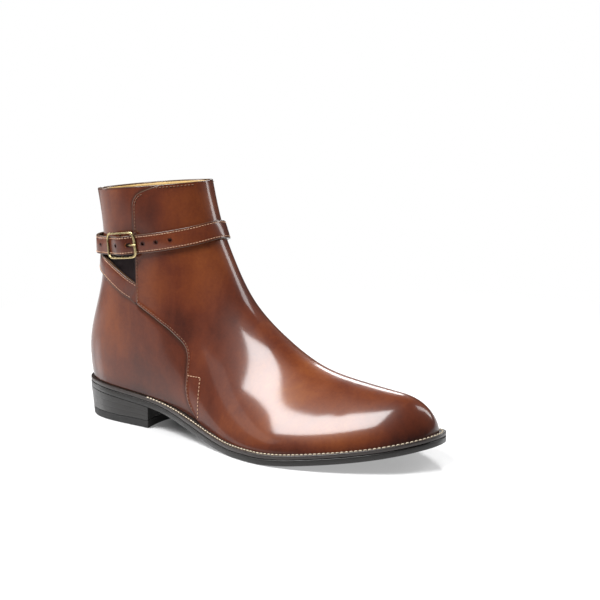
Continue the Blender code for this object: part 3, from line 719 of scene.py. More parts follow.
def fine_stations():
    """Closely spaced stations from the toe to the collar, with NEAR_TOP's distances below it at the end."""
    steps = TOE_WALL_REACH * 1.3 * (np.arange(count(26) + 1) / count(26)) ** 2
    first = np.full(len(steps), -1.5)
    toe = crest_bisect(first, first + 5, lambda along, height: along < TOE_TIP - steps)
    corner_along, corner_height = back_corner()
    corner = float(station_through(corner_along, corner_height))
    feet = corner_along + HEEL_LENGTH * 0.75 * (np.arange(count(24), 0, -1) / count(24)) ** 2
    heel = station_through(feet, upper_edge(feet))
    foot = np.linspace(toe[-1], heel[0], count(78))
    last = below_collar(NEAR_TOP)
    shaft = np.linspace(corner, last[0], count(96))
    return np.concatenate([toe, foot[1:-1], heel, shaft, last[1:]])


NEAR_TOP = np.array((0.0040, 0.0028, 0.0019, 0.0012, 0.0007, 0.0004, 0.00018, 0.00005, 0.0))
NEAR_EDGE = np.array((0.0052, 0.0036, 0.0024, 0.0016, 0.0010, 0.0006, 0.00036, 0.00018, 0.00006, 0.0))
EDGE_RADIUS = 0.00055


def edge_drop(distance, radius):
    """How far a rounded edge lies below its face at a distance from the edge."""
    inside = np.clip(radius - distance, 0, radius)
    return radius - np.sqrt(radius**2 - inside**2)


# Light and dark areas of the leather: middle and half sizes in the side view, metres, and amount
TONES = (
    (0.200, 0.050, 0.030, 0.022, 0.20),
    (0.120, 0.115, 0.012, 0.050, 0.08),
    (0.098, 0.160, 0.010, 0.016, 0.14),
    (0.045, 0.070, 0.012, 0.030, 0.10),
    (0.250, 0.020, 0.030, 0.008, 0.10),
    (0.082, 0.118, 0.010, 0.014, 0.08),
    (0.086, 0.150, 0.014, 0.024, -0.18),
    (0.300, 0.020, 0.022, 0.030, -0.14),
    (0.004, 0.060, 0.018, 0.060, -0.10),
    (0.105, 0.078, 0.018, 0.018, -0.16),
    (0.180, 0.070, 0.016, 0.010, -0.06),
    (0.062, 0.045, 0.030, 0.012, -0.08),
)


def patina_and_welt_shade(along, height):
    """Lightness of the leather, 0 dark to 1 amber: its patina, with painted shade just above the welt."""
    # Darker within a few millimetres of the welt: painted shade where the upper meets the welt
    tone = 0.44 - 0.12 * np.exp(-(np.maximum(height - upper_edge(along), 0) / 0.006) ** 2)
    for x, z, wide, tall, amount in TONES:
        tone = tone + amount * np.exp(-(((along - x) / wide) ** 2) - ((height - z) / tall) ** 2)
    return tone


def on_low_seam(along, height):
    """1 where the panel's edge runs down the side as a thick seam, 0 elsewhere."""
    return smooth_step((0.105 - height) / 0.012) * smooth_step((along - 0.070) / 0.004)


def rim_height(along):
    """Height of the collar's rim in the side view."""
    return COLLAR["height"] + (along - COLLAR["along"]) / math.tan(COLLAR["lean"])


def rim_rows():
    """Stations from the toe to the collar and over its rim, how far each lies under the leather's face, and its
    distance from the rim."""
    at = fine_stations()
    below = np.maximum(COLLAR["height"] - section(at)["height"], 0)
    down = np.array([0.0, 0.00005, 0.0003, 0.001, 0.004])
    fall = np.concatenate([edge_drop(below, LEATHER / 2), np.array([0.5, 0.75, 0.95, 1.0, 1.0]) * LEATHER])
    below = np.concatenate([below, 0 * down])
    return np.concatenate([at, below_collar(down)]), fall[:, None], below[:, None]


def crest_piece(name, along, height, level, marks, material):
    """A piece that goes from the outer side over the crest to the inner side."""
    outer = surface(along, height, -1, level)
    inner = surface(along, height, 1, level)
    rows = np.concatenate([outer[:, ::-1], inner[:, 1:]], axis=1)
    return grids_piece(name, [rows], np.concatenate([marks[:, ::-1], marks[:, 1:]], axis=1), material)


def front_panel(material):
    """The front panel and vamp in one piece, its rear edge standing on the quarters."""
    at, fall, below = rim_rows()
    point, full = row_paths(at)
    near = NEAR_EDGE[None, :]
    none = np.zeros((len(at), near.shape[1]))
    reach_near = bisect(none, full + none, lambda reach: ahead_of_edge(*point(reach)) < near)
    lowest = (full - reach_near[:, -1:]) < 1e-7
    tail = np.minimum(near, full * near / 0.02)
    reach_near = np.where(lowest, np.maximum(full - tail, 0), reach_near)
    share = 1 - np.cos(np.pi / 2 * np.arange(count(76)) / count(76))
    reach = np.concatenate([reach_near[:, :1] * share, reach_near], axis=1)
    along, height = point(reach)
    distance = np.where(lowest, 1.0, np.maximum(ahead_of_edge(along, height), 0))
    level = relief(along, height) - edge_drop(distance, EDGE_RADIUS)
    level = level + 0.00042 * on_low_seam(along, height) * np.exp(-(((distance - 0.0012) / 0.0008) ** 2))
    extra = point(reach[:, -1:] + np.where(lowest, 1, 0) * np.array([[0.0003, 0.0006, 0.0009]]))
    extra_level = np.where(lowest, 0.0, -1) * np.array([[0.0007, 0.0010, 0.0014]])
    extra_level = np.where(lowest, relief(*extra), extra_level)
    along = np.concatenate([along, extra[0]], 1)
    height = np.concatenate([height, extra[1]], 1)
    level = np.concatenate([level, extra_level], 1) - fall
    distance = np.concatenate([distance, np.where(lowest, 1.0, 0) + 0 * extra[0]], 1)
    edge = np.clip(np.minimum(distance, below) / 0.004, 0, 1)
    # Marks: patina with painted shade, distance from the dyed edge, and where that edge down the low seam gets a
    # painted highlight
    marks = np.stack([patina_and_welt_shade(along, height), edge, on_low_seam(along, height)], -1)
    return crest_piece("front_panel", along, height, level, marks, material)


def quarters(material, elastic):
    """Quarters and rear panel behind the front panel, up to the collar's rolled rim, with the gores let in."""
    corner = bisect(0.10, 0.16, lambda x: ahead_of_edge(x, upper_edge(x)) > 0)
    lowest = float(station_through(corner, upper_edge(corner)))
    at, fall, below = rim_rows()
    keep = at > lowest + 0.004
    at = np.concatenate([[lowest], at[keep]])
    fall = np.concatenate([[[0.0]], fall[keep]])
    below = np.concatenate([[[1.0]], below[keep]])
    point, full = row_paths(at)
    start = bisect(np.zeros((len(at), 1)), full, lambda reach: ahead_of_edge(*point(reach)) < PANEL_LAP)
    share = (1 - np.cos(np.pi * np.arange(count(80) + 1) / count(80))) / 2
    even = np.arange(count(80) + 1) / count(80)
    reach = start + (full - start) * (0.5 * share + 0.5 * even**1.2)
    along, height = point(reach)
    from_gore_line = line_distance(along, height, GORE_LINE)
    in_gore = inside_outline(along, height, GORE_LINE) * np.clip(from_gore_line / 0.001, 0, 1)
    let_in = inside_outline(along - 0.002, height, GORE_LINE)
    in_gore = np.where(along > EDGE_LINE[:, 0].min() - 0.0015, let_in, in_gore)
    level = relief(along, height) - QUARTER_STEP - fall - (GORE_STEP - QUARTER_STEP) * in_gore
    behind = np.maximum(-ahead_of_edge(along, height), 0)
    seam = on_low_seam(along, height)
    level = level - 0.0006 * seam * np.exp(-behind / 0.0014)
    # Dark at the collar's dyed rim, and a painted shadow on the quarters just behind the front panel's edge, wider
    # down the low seam
    edge = np.clip(np.minimum(below / 0.004, 0.02 + behind / (0.009 + 0.006 * seam)), 0, 1)
    marks = np.stack([patina_and_welt_shade(along, height), edge, in_gore], -1)
    piece = grids_piece("quarters", [surface(along, height, side, level) for side in (-1, 1)], marks, material)
    piece.data.materials.append(elastic)
    gore = marks_of(piece.data)[:, 2]
    for face in piece.data.polygons:
        if min(gore[i] for i in face.vertices) > 0.3:
            face.material_index = 1
    return piece


def lining(material):
    """The lining inside the wall, its folded top edge just below the rim."""
    below = np.array((0.0060, 0.0030, 0.0016, 0.0010, 0.00075))
    fold = (0.00004, 0.00018, 0.0004, 0.00065, 0.0008, 0.0008)
    at = fine_stations()
    at = at[section(at)["height"] < COLLAR["height"] - LINING_TOP][::2]
    at = np.concatenate([at, below_collar(below), below_collar(below[[-2, -3, -4]])])
    level = np.full((len(at), 1), -FRONT_WALL)
    level[-len(fold):, 0] += fold
    share = (1 - np.cos(np.pi * np.arange(count(44) + 1) / count(44))) / 2
    point, full = row_paths(at)
    along, height = point(full * share)
    marks = np.stack([patina_and_welt_shade(along, height), 0 * along + 1, 0 * along], -1)
    return crest_piece("lining", along, height, level, marks, material)


# Stitches

# A stitch from end to end: share of its length, and its half thickness and rise as shares of the thread's radius
STITCH_SHAPE = (
    (-0.5, 0.25, -0.9),
    (-0.42, 0.8, -0.1),
    (-0.2, 1.0, 0.35),
    (0.2, 1.0, 0.35),
    (0.42, 0.8, -0.1),
    (0.5, 0.25, -0.9),
)
STITCH_SIDES = 6


def stitch_row(places, outs, pitch, length, radius):
    """Points and faces of each stitch along a line of points, laid against the surface."""
    far = np.concatenate([[0], np.cumsum(np.linalg.norm(np.diff(places, axis=0), axis=1))])
    number = max(int(far[-1] / pitch), 1)
    turn = np.arange(STITCH_SIDES) * 2 * np.pi / STITCH_SIDES
    faces = tube_faces(len(STITCH_SHAPE), STITCH_SIDES)

    def read(values, at):
        return np.array([np.interp(at, far, column) for column in values.T])

    made = []
    for middle in (np.arange(number) + 0.5) * far[-1] / number:
        out = unit(read(outs, middle))
        forward = unit(read(places, middle + length / 2) - read(places, middle - length / 2))
        aside = unit(np.cross(out, forward))
        points = []
        for share, wide, rise in STITCH_SHAPE:
            base = read(places, middle) + forward * share * length + out * rise * radius
            points += [base + (aside * math.cos(t) + out * math.sin(t)) * radius * wide for t in turn]
        made.append((points, faces))
    return made


def stitches(name, rows, material, pitch=0.0024, length=0.0017, radius=STITCH_RADIUS):
    """One piece with several rows of stitches. Each row is its points and the ways out of the surface there."""
    mesh = bpy.data.meshes.new(name)
    points, faces = gathered([stitch for row in rows for stitch in stitch_row(*row, pitch, length, radius)])
    mesh.from_pydata(points, [], faces)
    mesh.shade_smooth()
    mesh.materials.append(material)
    return linked(name, mesh)


def on_panel(line, side):
    """Points in the part's frame, and ways out, along a side view's line on one side of the upper."""
    line = np.asarray(line, float)
    run = np.concatenate([[0], np.cumsum(np.linalg.norm(np.diff(line, axis=0), axis=1))])
    at = np.arange(0, run[-1], 0.0005)
    along = np.interp(at, run, line[:, 0])
    height = np.interp(at, run, line[:, 1])
    base = surface(along, height, side, np.zeros(len(at)))
    lifted = surface(along, height, side, relief(along, height) + THREAD_LIFT)
    return world(lifted), unit(off_surface(base)[1])


def beside_line(line, distance):
    """A side view's line moved to its right by a distance."""
    run = unit(np.gradient(line, axis=0))
    return line + np.stack([run[:, 1], -run[:, 0]], -1) * distance


# Strap and buckle

def strap_thickness(past_root):
    """Thickness of the strap, which is skived thin at its root."""
    share = np.clip(past_root / STRAP_TAPER, 0, 1)
    return STRAP_ROOT_THICKNESS + (STRAP_THICKNESS - STRAP_ROOT_THICKNESS) * share


def hole_cutters(route):
    """Points and faces of the punches for the strap's holes, and the middles of the holes on its face."""
    sides = 20
    cutters, centres = [], []
    for number in range(-HOLES_TO_TOE, HOLES_TO_HEEL + 1):
        size, stretch = (HOLE_RADIUS * 0.95, 1.6) if number == 0 else (HOLE_RADIUS, 1.0)
        centre = route.buckle - PRONG_HOLE + number * HOLE_SPACING
        centres.append(route.place(centre, 0.0, strap_lift(route, np.array([centre]))[0] + STRAP_THICKNESS))
        wall = []
        for lift, flare in ((0.3, 1.0), (0.86, 1.0), (0.98, 1.12), (1.6, 1.4)):
            for t in np.arange(sides) * 2 * np.pi / sides:
                far = centre + size * flare * stretch * math.cos(t)
                base = strap_lift(route, np.array([far]))[0]
                wall.append(route.place(far, size * flare * math.sin(t), base + lift * STRAP_THICKNESS))
        cutters.append((world(np.array(wall).reshape(-1, 3)), tube_faces(len(wall) // sides, sides)))
    return gathered(cutters), world(np.array(centres).reshape(-1, 3))


def strap_piece(route, material):
    """The strap from under the front panel's edge, once and a half round, with turned edges and punched holes."""
    start = route.at_turn(ROOT_TURN - 7)
    at = np.linspace(start, route.length[-1], count(460))
    inner = strap_lift(route, at)
    trim = route.at_turn(ROOT_TURN)
    thickness = strap_thickness(at - trim)
    half = STRAP_WIDTH / 2
    soft = 0.00045
    section_points = [(-half, 0.0), (-half * 0.5, 0.0), (0.0, 0.0), (half * 0.5, 0.0), (half, 0.0)]
    turn = np.radians(np.linspace(0, 90, 5))
    section_points += [(half - soft + soft * math.cos(t), 1 - (1 - math.sin(t)) * 0.2) for t in turn]
    groove = ((0.0010, 1.0), (0.0013, 0.975), (0.0016, 0.975), (0.0019, 1.0), (0.0030, 1.02))
    section_points += [(half - d, rise) for d, rise in groove]
    section_points += [(half * 0.3, 1.045), (0.0, 1.05), (-half * 0.3, 1.045)]
    section_points += [(-half + d, rise) for d, rise in groove[::-1]]
    section_points += [(-half + soft - soft * math.cos(t), 1 - (1 - math.sin(t)) * 0.2) for t in turn[::-1]]
    inner = inner - 0.0003 * smooth_step((trim + 0.003 - at) / 0.004)
    taper_end = np.clip((route.length[-1] - at) / 0.0035, 0, 1)
    narrow = np.sqrt(1 - (1 - taper_end) ** 2) * 0.45 + 0.55
    rows, marks = [], []
    for up, rise in section_points:
        rows.append(route.place(at, up * narrow, inner + thickness * rise))
        edge = 0.0 if rise < 0.01 else np.clip((half - abs(up)) / 0.004, 0, 1)
        marks.append(np.stack([0.45 + 0 * at, edge + 0 * at, 0 * at], -1))
    keep = at > trim - 0.0075
    rows = world(np.stack(rows, 1)[keep])
    marks = np.stack(marks, 1)[keep].reshape(-1, 3)
    strap = mesh_piece("strap_leather", rows.reshape(-1, 3), tube_faces(*rows.shape[:2]), material, marks)

    (points, faces), centres = hole_cutters(route)
    mesh = bpy.data.meshes.new("holes")
    mesh.from_pydata(points, [], faces)
    layer = mesh.color_attributes.new("marks", "FLOAT_COLOR", "POINT")
    # The holes' walls are marked dark: painted shade inside the holes
    layer.data.foreach_set("color", np.tile((0.12, 0.5, 0.0, 1.0), len(points)).astype(np.float32))
    builder = bmesh.new()
    builder.from_mesh(mesh)
    bmesh.ops.recalc_face_normals(builder, faces=builder.faces)
    builder.to_mesh(mesh)
    builder.free()
    hole_maker = linked("holes", mesh)
    modifier = strap.modifiers.new("holes", "BOOLEAN")
    modifier.operation = "DIFFERENCE"
    modifier.solver = "EXACT"
    modifier.object = hole_maker
    cut = bpy.data.meshes.new_from_object(strap.evaluated_get(bpy.context.evaluated_depsgraph_get()))
    strap.modifiers.clear()
    strap.data = cut
    bpy.data.objects.remove(hole_maker)

    places = np.empty(len(cut.vertices) * 3, np.float32)
    cut.vertices.foreach_get("co", places)
    values = marks_of(cut)
    # Dark leather round each hole: painted shade round and in the holes
    for centre in centres:
        values[np.linalg.norm(places.reshape(-1, 3) - centre, axis=1) < HOLE_RADIUS * 1.7] = (0.22, 0.6, 0.0, 1.0)
    cut.color_attributes["marks"].data.foreach_set("color", values.ravel())
    cut.set_sharp_from_angle(angle=math.radians(42))
    return strap


def strap_stitches(route, material):
    """The thread along both edges of the strap."""
    start = route.at_turn(ROOT_TURN) + 0.001
    at = np.arange(start, route.length[-1] - 0.004, 0.0006)
    lift = strap_lift(route, at) + strap_thickness(at - start) * 0.985
    outs = unit(route.read(route.out, at))
    up = STRAP_WIDTH / 2 - 0.00145
    rows = [(world(route.place(at, side * up, lift)), outs) for side in (-1, 1)]
    return stitches("strap_stitches", rows, material, pitch=0.0021, length=0.0015, radius=0.00022)


def swept_ring(route, path, outward, wide, tall, lift, sides=14):
    """Rows of points round a bar that follows a closed path over the strap."""
    rows = []
    for t in np.arange(sides) * 2 * np.pi / sides:
        c = np.sign(math.cos(t)) * abs(math.cos(t)) ** 0.8
        s = np.sign(math.sin(t)) * abs(math.sin(t)) ** 0.8
        moved = path + outward * wide[:, None] * c
        rows.append(route.place(route.buckle + moved[:, 0], moved[:, 1], lift + tall * s))
    return np.stack(rows, 1)


def buckle_pieces(route, material):
    """The frame with its centre bar, and the prong."""
    half = np.array([BUCKLE_LENGTH, BUCKLE_HEIGHT]) / 2 - RAIL_WIDTH / 2
    path, outward = [], []
    corners = ((1, 1, (-1, 0)), (-1, 1, (0, -1)), (-1, -1, (1, 0)), (1, -1, (0, 1)))
    for turn, (side, end, follow) in enumerate(corners):
        centre = (half - BUCKLE_CORNER) * (side, end)
        for angle in np.radians(turn * 90 + np.linspace(0, 90, 9)):
            way = np.array([math.cos(angle), math.sin(angle)])
            path.append(centre + BUCKLE_CORNER * way)
            outward.append(way)
        length = 2 * (half - BUCKLE_CORNER)[turn % 2]
        begin = path[-1]
        for step in np.linspace(0, 1, 11)[1:-1]:
            path.append(begin + np.array(follow) * length * step)
            outward.append(way)
    path = np.array(path)
    outward = np.array(outward)
    ahead = smooth_step((-path[:, 0] - half[0] + BUCKLE_CORNER * 1.2) / BUCKLE_CORNER)
    wide = RAIL_WIDTH / 2 * (1 + 0.55 * ahead)
    lift = BUCKLE_LIFT + RAIL_WIDTH / 2
    rows = swept_ring(route, path, outward, wide * 1.12, RAIL_WIDTH / 2, lift)
    for _ in range(3):
        rows = (np.roll(rows, 1, axis=0) + 2 * rows + np.roll(rows, -1, axis=0)) / 4
    faces = grid_faces(*rows.shape[:2], ring=True, closed=True)
    ring = mesh_piece("buckle_ring", world(rows).reshape(-1, 3), faces, material)

    up = np.linspace(-1, 1, 25)
    sag = smooth_step((1 - np.abs(up)) / 0.35)
    bar = route.place(route.buckle, up * half[1], lift + (CENTRE_BAR_LIFT - lift) * sag)
    bar_piece = round_bar("buckle_bar", world(bar), np.full(25, CENTRE_BAR_RADIUS), material)

    line = prong_line(route)
    far = np.arange(len(line)) / (len(line) - 1)
    radius = PRONG_RADIUS * (1 - 0.35 * smooth_step((far - 0.86) / 0.14))
    prong = round_bar("buckle_tongue", world(line), radius, material)
    return ring, bar_piece, prong


def prong_line(route):
    """The prong's line: round the centre bar, up through the strap, and onto the far bar."""
    ring = CENTRE_BAR_RADIUS + CLEARANCE + PRONG_RADIUS
    points = []
    for angle in np.radians(np.linspace(-130, 90, 22)):
        points.append((ring * math.cos(angle), CENTRE_BAR_LIFT + ring * math.sin(angle)))
    top = BUCKLE_LIFT + RAIL_WIDTH + PRONG_RADIUS
    low = CENTRE_BAR_LIFT + ring
    rise = spline([0.0] + [row[0] for row in PRONG_RISE], [0.0] + [row[1] for row in PRONG_RISE])
    for share in np.linspace(0.06, 1.06, 26):
        points.append((-share * BUCKLE_LENGTH / 2, low + (top - low) * float(rise(share))))
    points = np.array(points)
    return route.place(route.buckle + points[:, 0], 0.0, points[:, 1])


def round_bar(name, line, radius, material, sides=14):
    """A bar along a line of points with rounded ends."""
    tangent = unit(np.gradient(line, axis=0))
    aside = unit(np.cross(tangent, (0.02, 0.05, 1.0)))
    up = np.cross(aside, tangent)
    turn = np.arange(sides) * 2 * np.pi / sides

    def circle(i, size):
        return (aside[i] * np.cos(turn)[:, None] + up[i] * np.sin(turn)[:, None]) * radius[i] * size

    def cap(i, way):
        angles = np.radians((30, 60, 82))
        return [line[i] + tangent[i] * way * radius[i] * math.sin(t) + circle(i, math.cos(t)) for t in angles]

    rows = cap(0, -1)[::-1] + [line[i] + circle(i, 1) for i in range(len(line))] + cap(-1, 1)
    return mesh_piece(name, np.concatenate(rows), tube_faces(len(rows), sides), material)


# Sole unit

def loops_piece(name, loops, material, closed=False):
    """A piece between closed loops of points, stacked from bottom to top. Its ends are filled with strips."""
    loops = np.array(loops)
    wide = loops.shape[1]
    faces = [tuple(face) for face in grid_faces(len(loops), wide, True, closed)]
    for level in () if closed else (0, len(loops) - 1):
        for i in range(wide // 2):
            strip = dict.fromkeys(level * wide + j % wide for j in (i, i + 1, -i - 1, -i))
            if len(strip) > 2:
                faces.append(tuple(strip))
    return mesh_piece(name, world(loops).reshape(-1, 3), faces, material, None, 50)


def edge_profile(bottom, top, radius, steps=4):
    """Inset and height pairs up a sole's edge with both its corners rounded."""
    turn = np.radians(np.linspace(0, 90, steps))
    low = [(radius * (1 - math.sin(t)), bottom + radius * (1 - math.cos(t))) for t in turn]
    high = [(radius * (1 - math.cos(t)), top - radius * (1 - math.sin(t))) for t in turn]
    return low + high


# Groove along the welt's top for its thread: share of the way from the sole's edge to the upper, and rise
WELT_GROOVE = ((0.30, 0.0), (0.42, -0.00012), (0.50, -0.00025), (0.58, -0.00012), (0.72, 0.0), (1.0, 0.00005))

# Edge of each lift of the heel: share of its height, and inset
LIFT_EDGE = ((0.0, 0.00007), (0.04, 0.00001), (0.12, 0.0), (0.88, 0.0), (0.96, 0.00001), (1.0, 0.00007))
LIFTS = 3


def above_sole(plan, height):
    """Points of a plan at a height over the outsole's underside."""
    return np.column_stack([plan, underside(plan[:, 0]) + height])


def welt_pieces(material, thread):
    """The welt, and its stitches in front of the heel."""
    base = OUTSOLE_THICKNESS + CLEARANCE
    top = base + WELT_THICKNESS
    hidden = beside_feather(-FRONT_WALL)
    full = sole_line()
    across = feather_line() - full
    grooved = smooth_step((np.linalg.norm(across, axis=1) - 0.0028) / 0.0012)
    loops = [above_sole(hidden, base)]
    loops += [above_sole(sole_line(inset), height) for inset, height in edge_profile(base, top, WELT_ROUND)]
    loops += [above_sole(full + across * share, top + rise * grooved) for share, rise in WELT_GROOVE]
    loops.append(above_sole(hidden, top))
    welt = loops_piece("welt_strip", loops, material, closed=True)
    line = above_sole(full + across * 0.5, top + 0.00005)
    line = world(line[line[:, 0] > HEEL_LENGTH - 0.002])
    outs = np.tile((0.0, 0.0, 1.0), (len(line), 1))
    return welt, stitches("welt_stitches", [(line, outs)], thread, 0.0030, 0.0023, 0.00042)


def heel_loop(inset, height_at):
    """Plan of the heel with its hollow breast, tapered towards the floor, at a height for each place along."""
    at = sole_line(inset)
    at = at[at[:, 0] < HEEL_LENGTH - 0.0002]
    at = at[np.argsort(np.arctan2(at[:, 1], 0.045 - at[:, 0]))]
    share = np.linspace(0, 1, 26)[1:-1]
    breast = at[-1] + (at[0] - at[-1]) * share[:, None]
    breast[:, 0] = HEEL_LENGTH - BREAST_HOLLOW * 4 * share * (1 - share)
    line = np.concatenate([at, [(HEEL_LENGTH, at[-1][1])], breast, [(HEEL_LENGTH, at[0][1])]])
    height = height_at(line[:, 0])
    taper = HEEL_TAPER * (1 - height / float(underside(0.0)))
    shrink = 1 - np.maximum(taper, 0) / (HEEL_LENGTH / 2)
    centre = np.array([HEEL_LENGTH / 2, 0.0])
    return np.column_stack([centre + (line - centre) * shrink[:, None], height])


def heel_piece(name, loops, material):
    """The heel's lifts or top piece between loops of points."""
    loops = np.array(loops)
    return mesh_piece(name, world(loops).reshape(-1, 3), tube_faces(*loops.shape[:2]), material, None, 40)


def heel_pieces(block_material, rubber):
    """The top piece, and the lifts of the heel over it."""
    profile = edge_profile(0.0, TOP_PIECE_THICKNESS, 0.0005, 3)
    top_piece = [heel_loop(inset, lambda x, level=level: level + 0 * x) for inset, level in profile]
    base = TOP_PIECE_THICKNESS + CLEARANCE
    lifts = []
    for lift in range(LIFTS):
        for share, inset in LIFT_EDGE[1 if lift else 0:]:
            def height_at(x, part=(lift + share) / LIFTS):
                return base + (underside(x) - CLEARANCE * 0.4 - base) * part

            lifts.append(heel_loop(inset, height_at))
    return (
        heel_piece("top_piece_rubber", top_piece, rubber),
        heel_piece("heel_lifts", lifts, block_material),
    )


# Materials

class Nodes:
    """Builds the nodes of a material or of the world round the node that gives its look."""

    def __init__(self, owner, target):
        owner.use_nodes = True
        self.owner = owner
        self.tree = owner.node_tree
        self.target = self.tree.nodes[target]

    def put(self, socket, value):
        """Gives a socket a number, a colour or another node's output."""
        if isinstance(value, bpy.types.NodeSocket):
            self.tree.links.new(value, socket)
        elif isinstance(value, tuple) and socket.type == "RGBA":
            socket.default_value = (*value, 1)
        else:
            socket.default_value = value

    def set(self, **values):
        for key, value in values.items():
            self.put(self.target.inputs[key.replace("_", " ")], value)

    def add(self, kind, output, inputs, **settings):
        """An output of a new node, whose inputs are given by name or number."""
        made = self.tree.nodes.new(kind)
        for key, value in settings.items():
            setattr(made, key, value)
        for key, value in inputs.items():
            self.put(made.inputs[key], value)
        return made.outputs[output]

    def math(self, operation, *values):
        return self.add("ShaderNodeMath", 0, dict(enumerate(values)), operation=operation)

    def span(self, value, low, high, to_low=0.0, to_high=1.0):
        values = {"Value": value, "From Min": low, "From Max": high, "To Min": to_low, "To Max": to_high}
        return self.add("ShaderNodeMapRange", "Result", values)

    def mix(self, share, a, b):
        return self.add("ShaderNodeMix", 2, {0: share, 6: a, 7: b}, data_type="RGBA")

    def ramp(self, value, stops):
        colour = self.add("ShaderNodeValToRGB", "Color", {"Fac": value})
        points = colour.node.color_ramp.elements
        while len(points) < len(stops):
            points.new(0.5)
        for point, (at, shade) in zip(points, stops):
            point.position = at
            point.color = (*shade, 1)
        return colour


class Shader(Nodes):
    """A material, with patterns in its object's own space."""

    def __init__(self, name):
        super().__init__(bpy.data.materials.new(name), "Principled BSDF")
        self.place = self.add("ShaderNodeTexCoord", "Object", {})

    def noise(self, scale, detail=3.0, roughness=0.55, distortion=0.0, stretch=None):
        place = self.place
        if stretch is not None:
            place = self.add("ShaderNodeMapping", "Vector", {"Scale": stretch, "Vector": place})
        values = {"Scale": scale, "Detail": detail, "Roughness": roughness, "Distortion": distortion, "Vector": place}
        return self.add("ShaderNodeTexNoise", "Fac", values)

    def marks(self):
        colour = self.add("ShaderNodeVertexColor", "Color", {}, layer_name="marks")
        parts = self.add("ShaderNodeSeparateColor", 0, {"Color": colour}).node.outputs
        return parts["Red"], parts["Green"], parts["Blue"]

    def bump(self, height, distance, strength, **under):
        values = {"Distance": distance, "Strength": strength, "Height": height, **under}
        return self.add("ShaderNodeBump", "Normal", values)

def burnished_leather(name, tone_shift=0.0):
    """Glossy brown leather, hand-shaded, amber where rubbed and dark at its dyed edges, with painted shade and
    highlight.
    """
    s = Shader(name)
    tone, edge, painted_highlight_share = s.marks()
    cloud = s.noise(15.0, 4.0, 0.6, 0.4)
    smear = s.noise(70.0, 4.0, 0.6, 0.8, (1.0, 1.0, 0.35))
    fine = s.noise(520.0, 3.0, 0.6)
    value = s.math("ADD", tone, s.span(cloud, 0.3, 0.7, -0.14, 0.14))
    value = s.math("ADD", value, s.span(smear, 0.3, 0.7, -0.045, 0.045))
    value = s.math("ADD", value, s.span(fine, 0.3, 0.7, -0.03, 0.03))
    value = s.math("ADD", value, tone_shift)
    colour = s.ramp(value, (
        (0.0, (0.009, 0.003, 0.0025)),
        (0.22, (0.032, 0.007, 0.004)),
        (0.42, (0.076, 0.0155, 0.0055)),
        (0.60, (0.125, 0.029, 0.0065)),
        (0.80, (0.195, 0.058, 0.010)),
        (1.0, (0.260, 0.095, 0.017)),
    ))
    # Darker near edges: the dyed cut edges and collar rim, and painted shadow on the quarters beside the front
    # panel's edge
    rim = s.math("SUBTRACT", 1.0, s.span(edge, 0.0, 0.30))
    colour = s.mix(s.math("MULTIPLY", rim, 0.90), colour, (0.018, 0.007, 0.005))
    # Cut edges take a dark brown dye, and a painted cream highlight where the edge runs down the low seam
    cut = s.math("SUBTRACT", 1.0, s.span(edge, 0.02, 0.11))
    cut_dye_and_highlight = s.mix(painted_highlight_share, (0.085, 0.048, 0.026), (0.50, 0.34, 0.20))
    colour = s.mix(s.math("MULTIPLY", cut, 0.8), colour, cut_dye_and_highlight)
    s.set(Base_Color=colour, Roughness=s.span(smear, 0.2, 0.8, 0.34, 0.50))
    s.set(Coat_Weight=0.62, Coat_Roughness=0.13, Coat_IOR=1.5, Specular_IOR_Level=0.15)
    wave = s.bump(s.noise(26.0, 2.0, 0.5), 0.0008, 0.16)
    s.set(Normal=s.bump(s.noise(1500.0, 3.0, 0.7), 0.00006, 0.35, Normal=wave))
    return s.owner


def plain_material(name, colour, roughness, amount=0.12, scale=260.0, grain=900.0, grain_depth=0.00005, **settings):
    """A plain surface with slight clouding and grain."""
    s = Shader(name)
    cloud = s.noise(scale, 4.0)
    dark = tuple(c * (1 - amount) for c in colour)
    light = tuple(min(c * (1 + amount), 1) for c in colour)
    s.set(Base_Color=s.ramp(cloud, ((0.3, dark), (0.7, light))))
    s.set(Roughness=s.span(cloud, 0.2, 0.8, roughness * 0.85, min(roughness * 1.15, 1)))
    s.set(Normal=s.bump(s.noise(grain, 3.0, 0.7), grain_depth, 0.6), **settings)
    return s.owner


def sole_edge(name):
    """Dark stained edge of stacked leather, with fine layers lying along it."""
    s = Shader(name)
    layers = s.noise(900.0, 3.0, 0.6, 0.0, (0.03, 0.03, 1.0))
    cloud = s.noise(120.0, 4.0)
    value = s.math("ADD", s.math("MULTIPLY", layers, 0.6), s.math("MULTIPLY", cloud, 0.4))
    s.set(Base_Color=s.ramp(value, ((0.30, (0.0040, 0.0032, 0.0026)), (0.75, (0.0085, 0.0066, 0.0052)))))
    s.set(Roughness=s.span(cloud, 0.3, 0.7, 0.36, 0.50), Normal=s.bump(layers, 0.00005, 0.10))
    s.set(Coat_Weight=0.3, Coat_Roughness=0.2, Specular_IOR_Level=0.35)
    return s.owner


def old_brass(name):
    """Brass with a brown film, brighter in worn places."""
    s = Shader(name)
    cloud = s.noise(700.0, 4.0, 0.6)
    stops = ((0.30, (0.40, 0.31, 0.15)), (0.55, (0.52, 0.42, 0.22)), (0.80, (0.62, 0.52, 0.30)))
    s.set(Base_Color=s.ramp(cloud, stops), Roughness=s.span(cloud, 0.3, 0.7, 0.20, 0.38))
    s.set(Normal=s.bump(s.noise(2500.0, 2.0), 0.00002, 0.15), Metallic=1.0)
    return s.owner


def elastic(name):
    """Dark ribbed elastic cloth."""
    s = Shader(name)
    values = {"Scale": 300.0, "Distortion": 0.4, "Vector": s.place}
    wave = s.add("ShaderNodeTexWave", "Fac", values, bands_direction="X")
    s.set(Base_Color=s.ramp(wave, ((0.2, (0.007, 0.004, 0.005)), (0.9, (0.022, 0.013, 0.014)))))
    s.set(Roughness=0.85, Specular_IOR_Level=0.2, Normal=s.bump(wave, 0.0002, 0.8))
    return s.owner


# Building

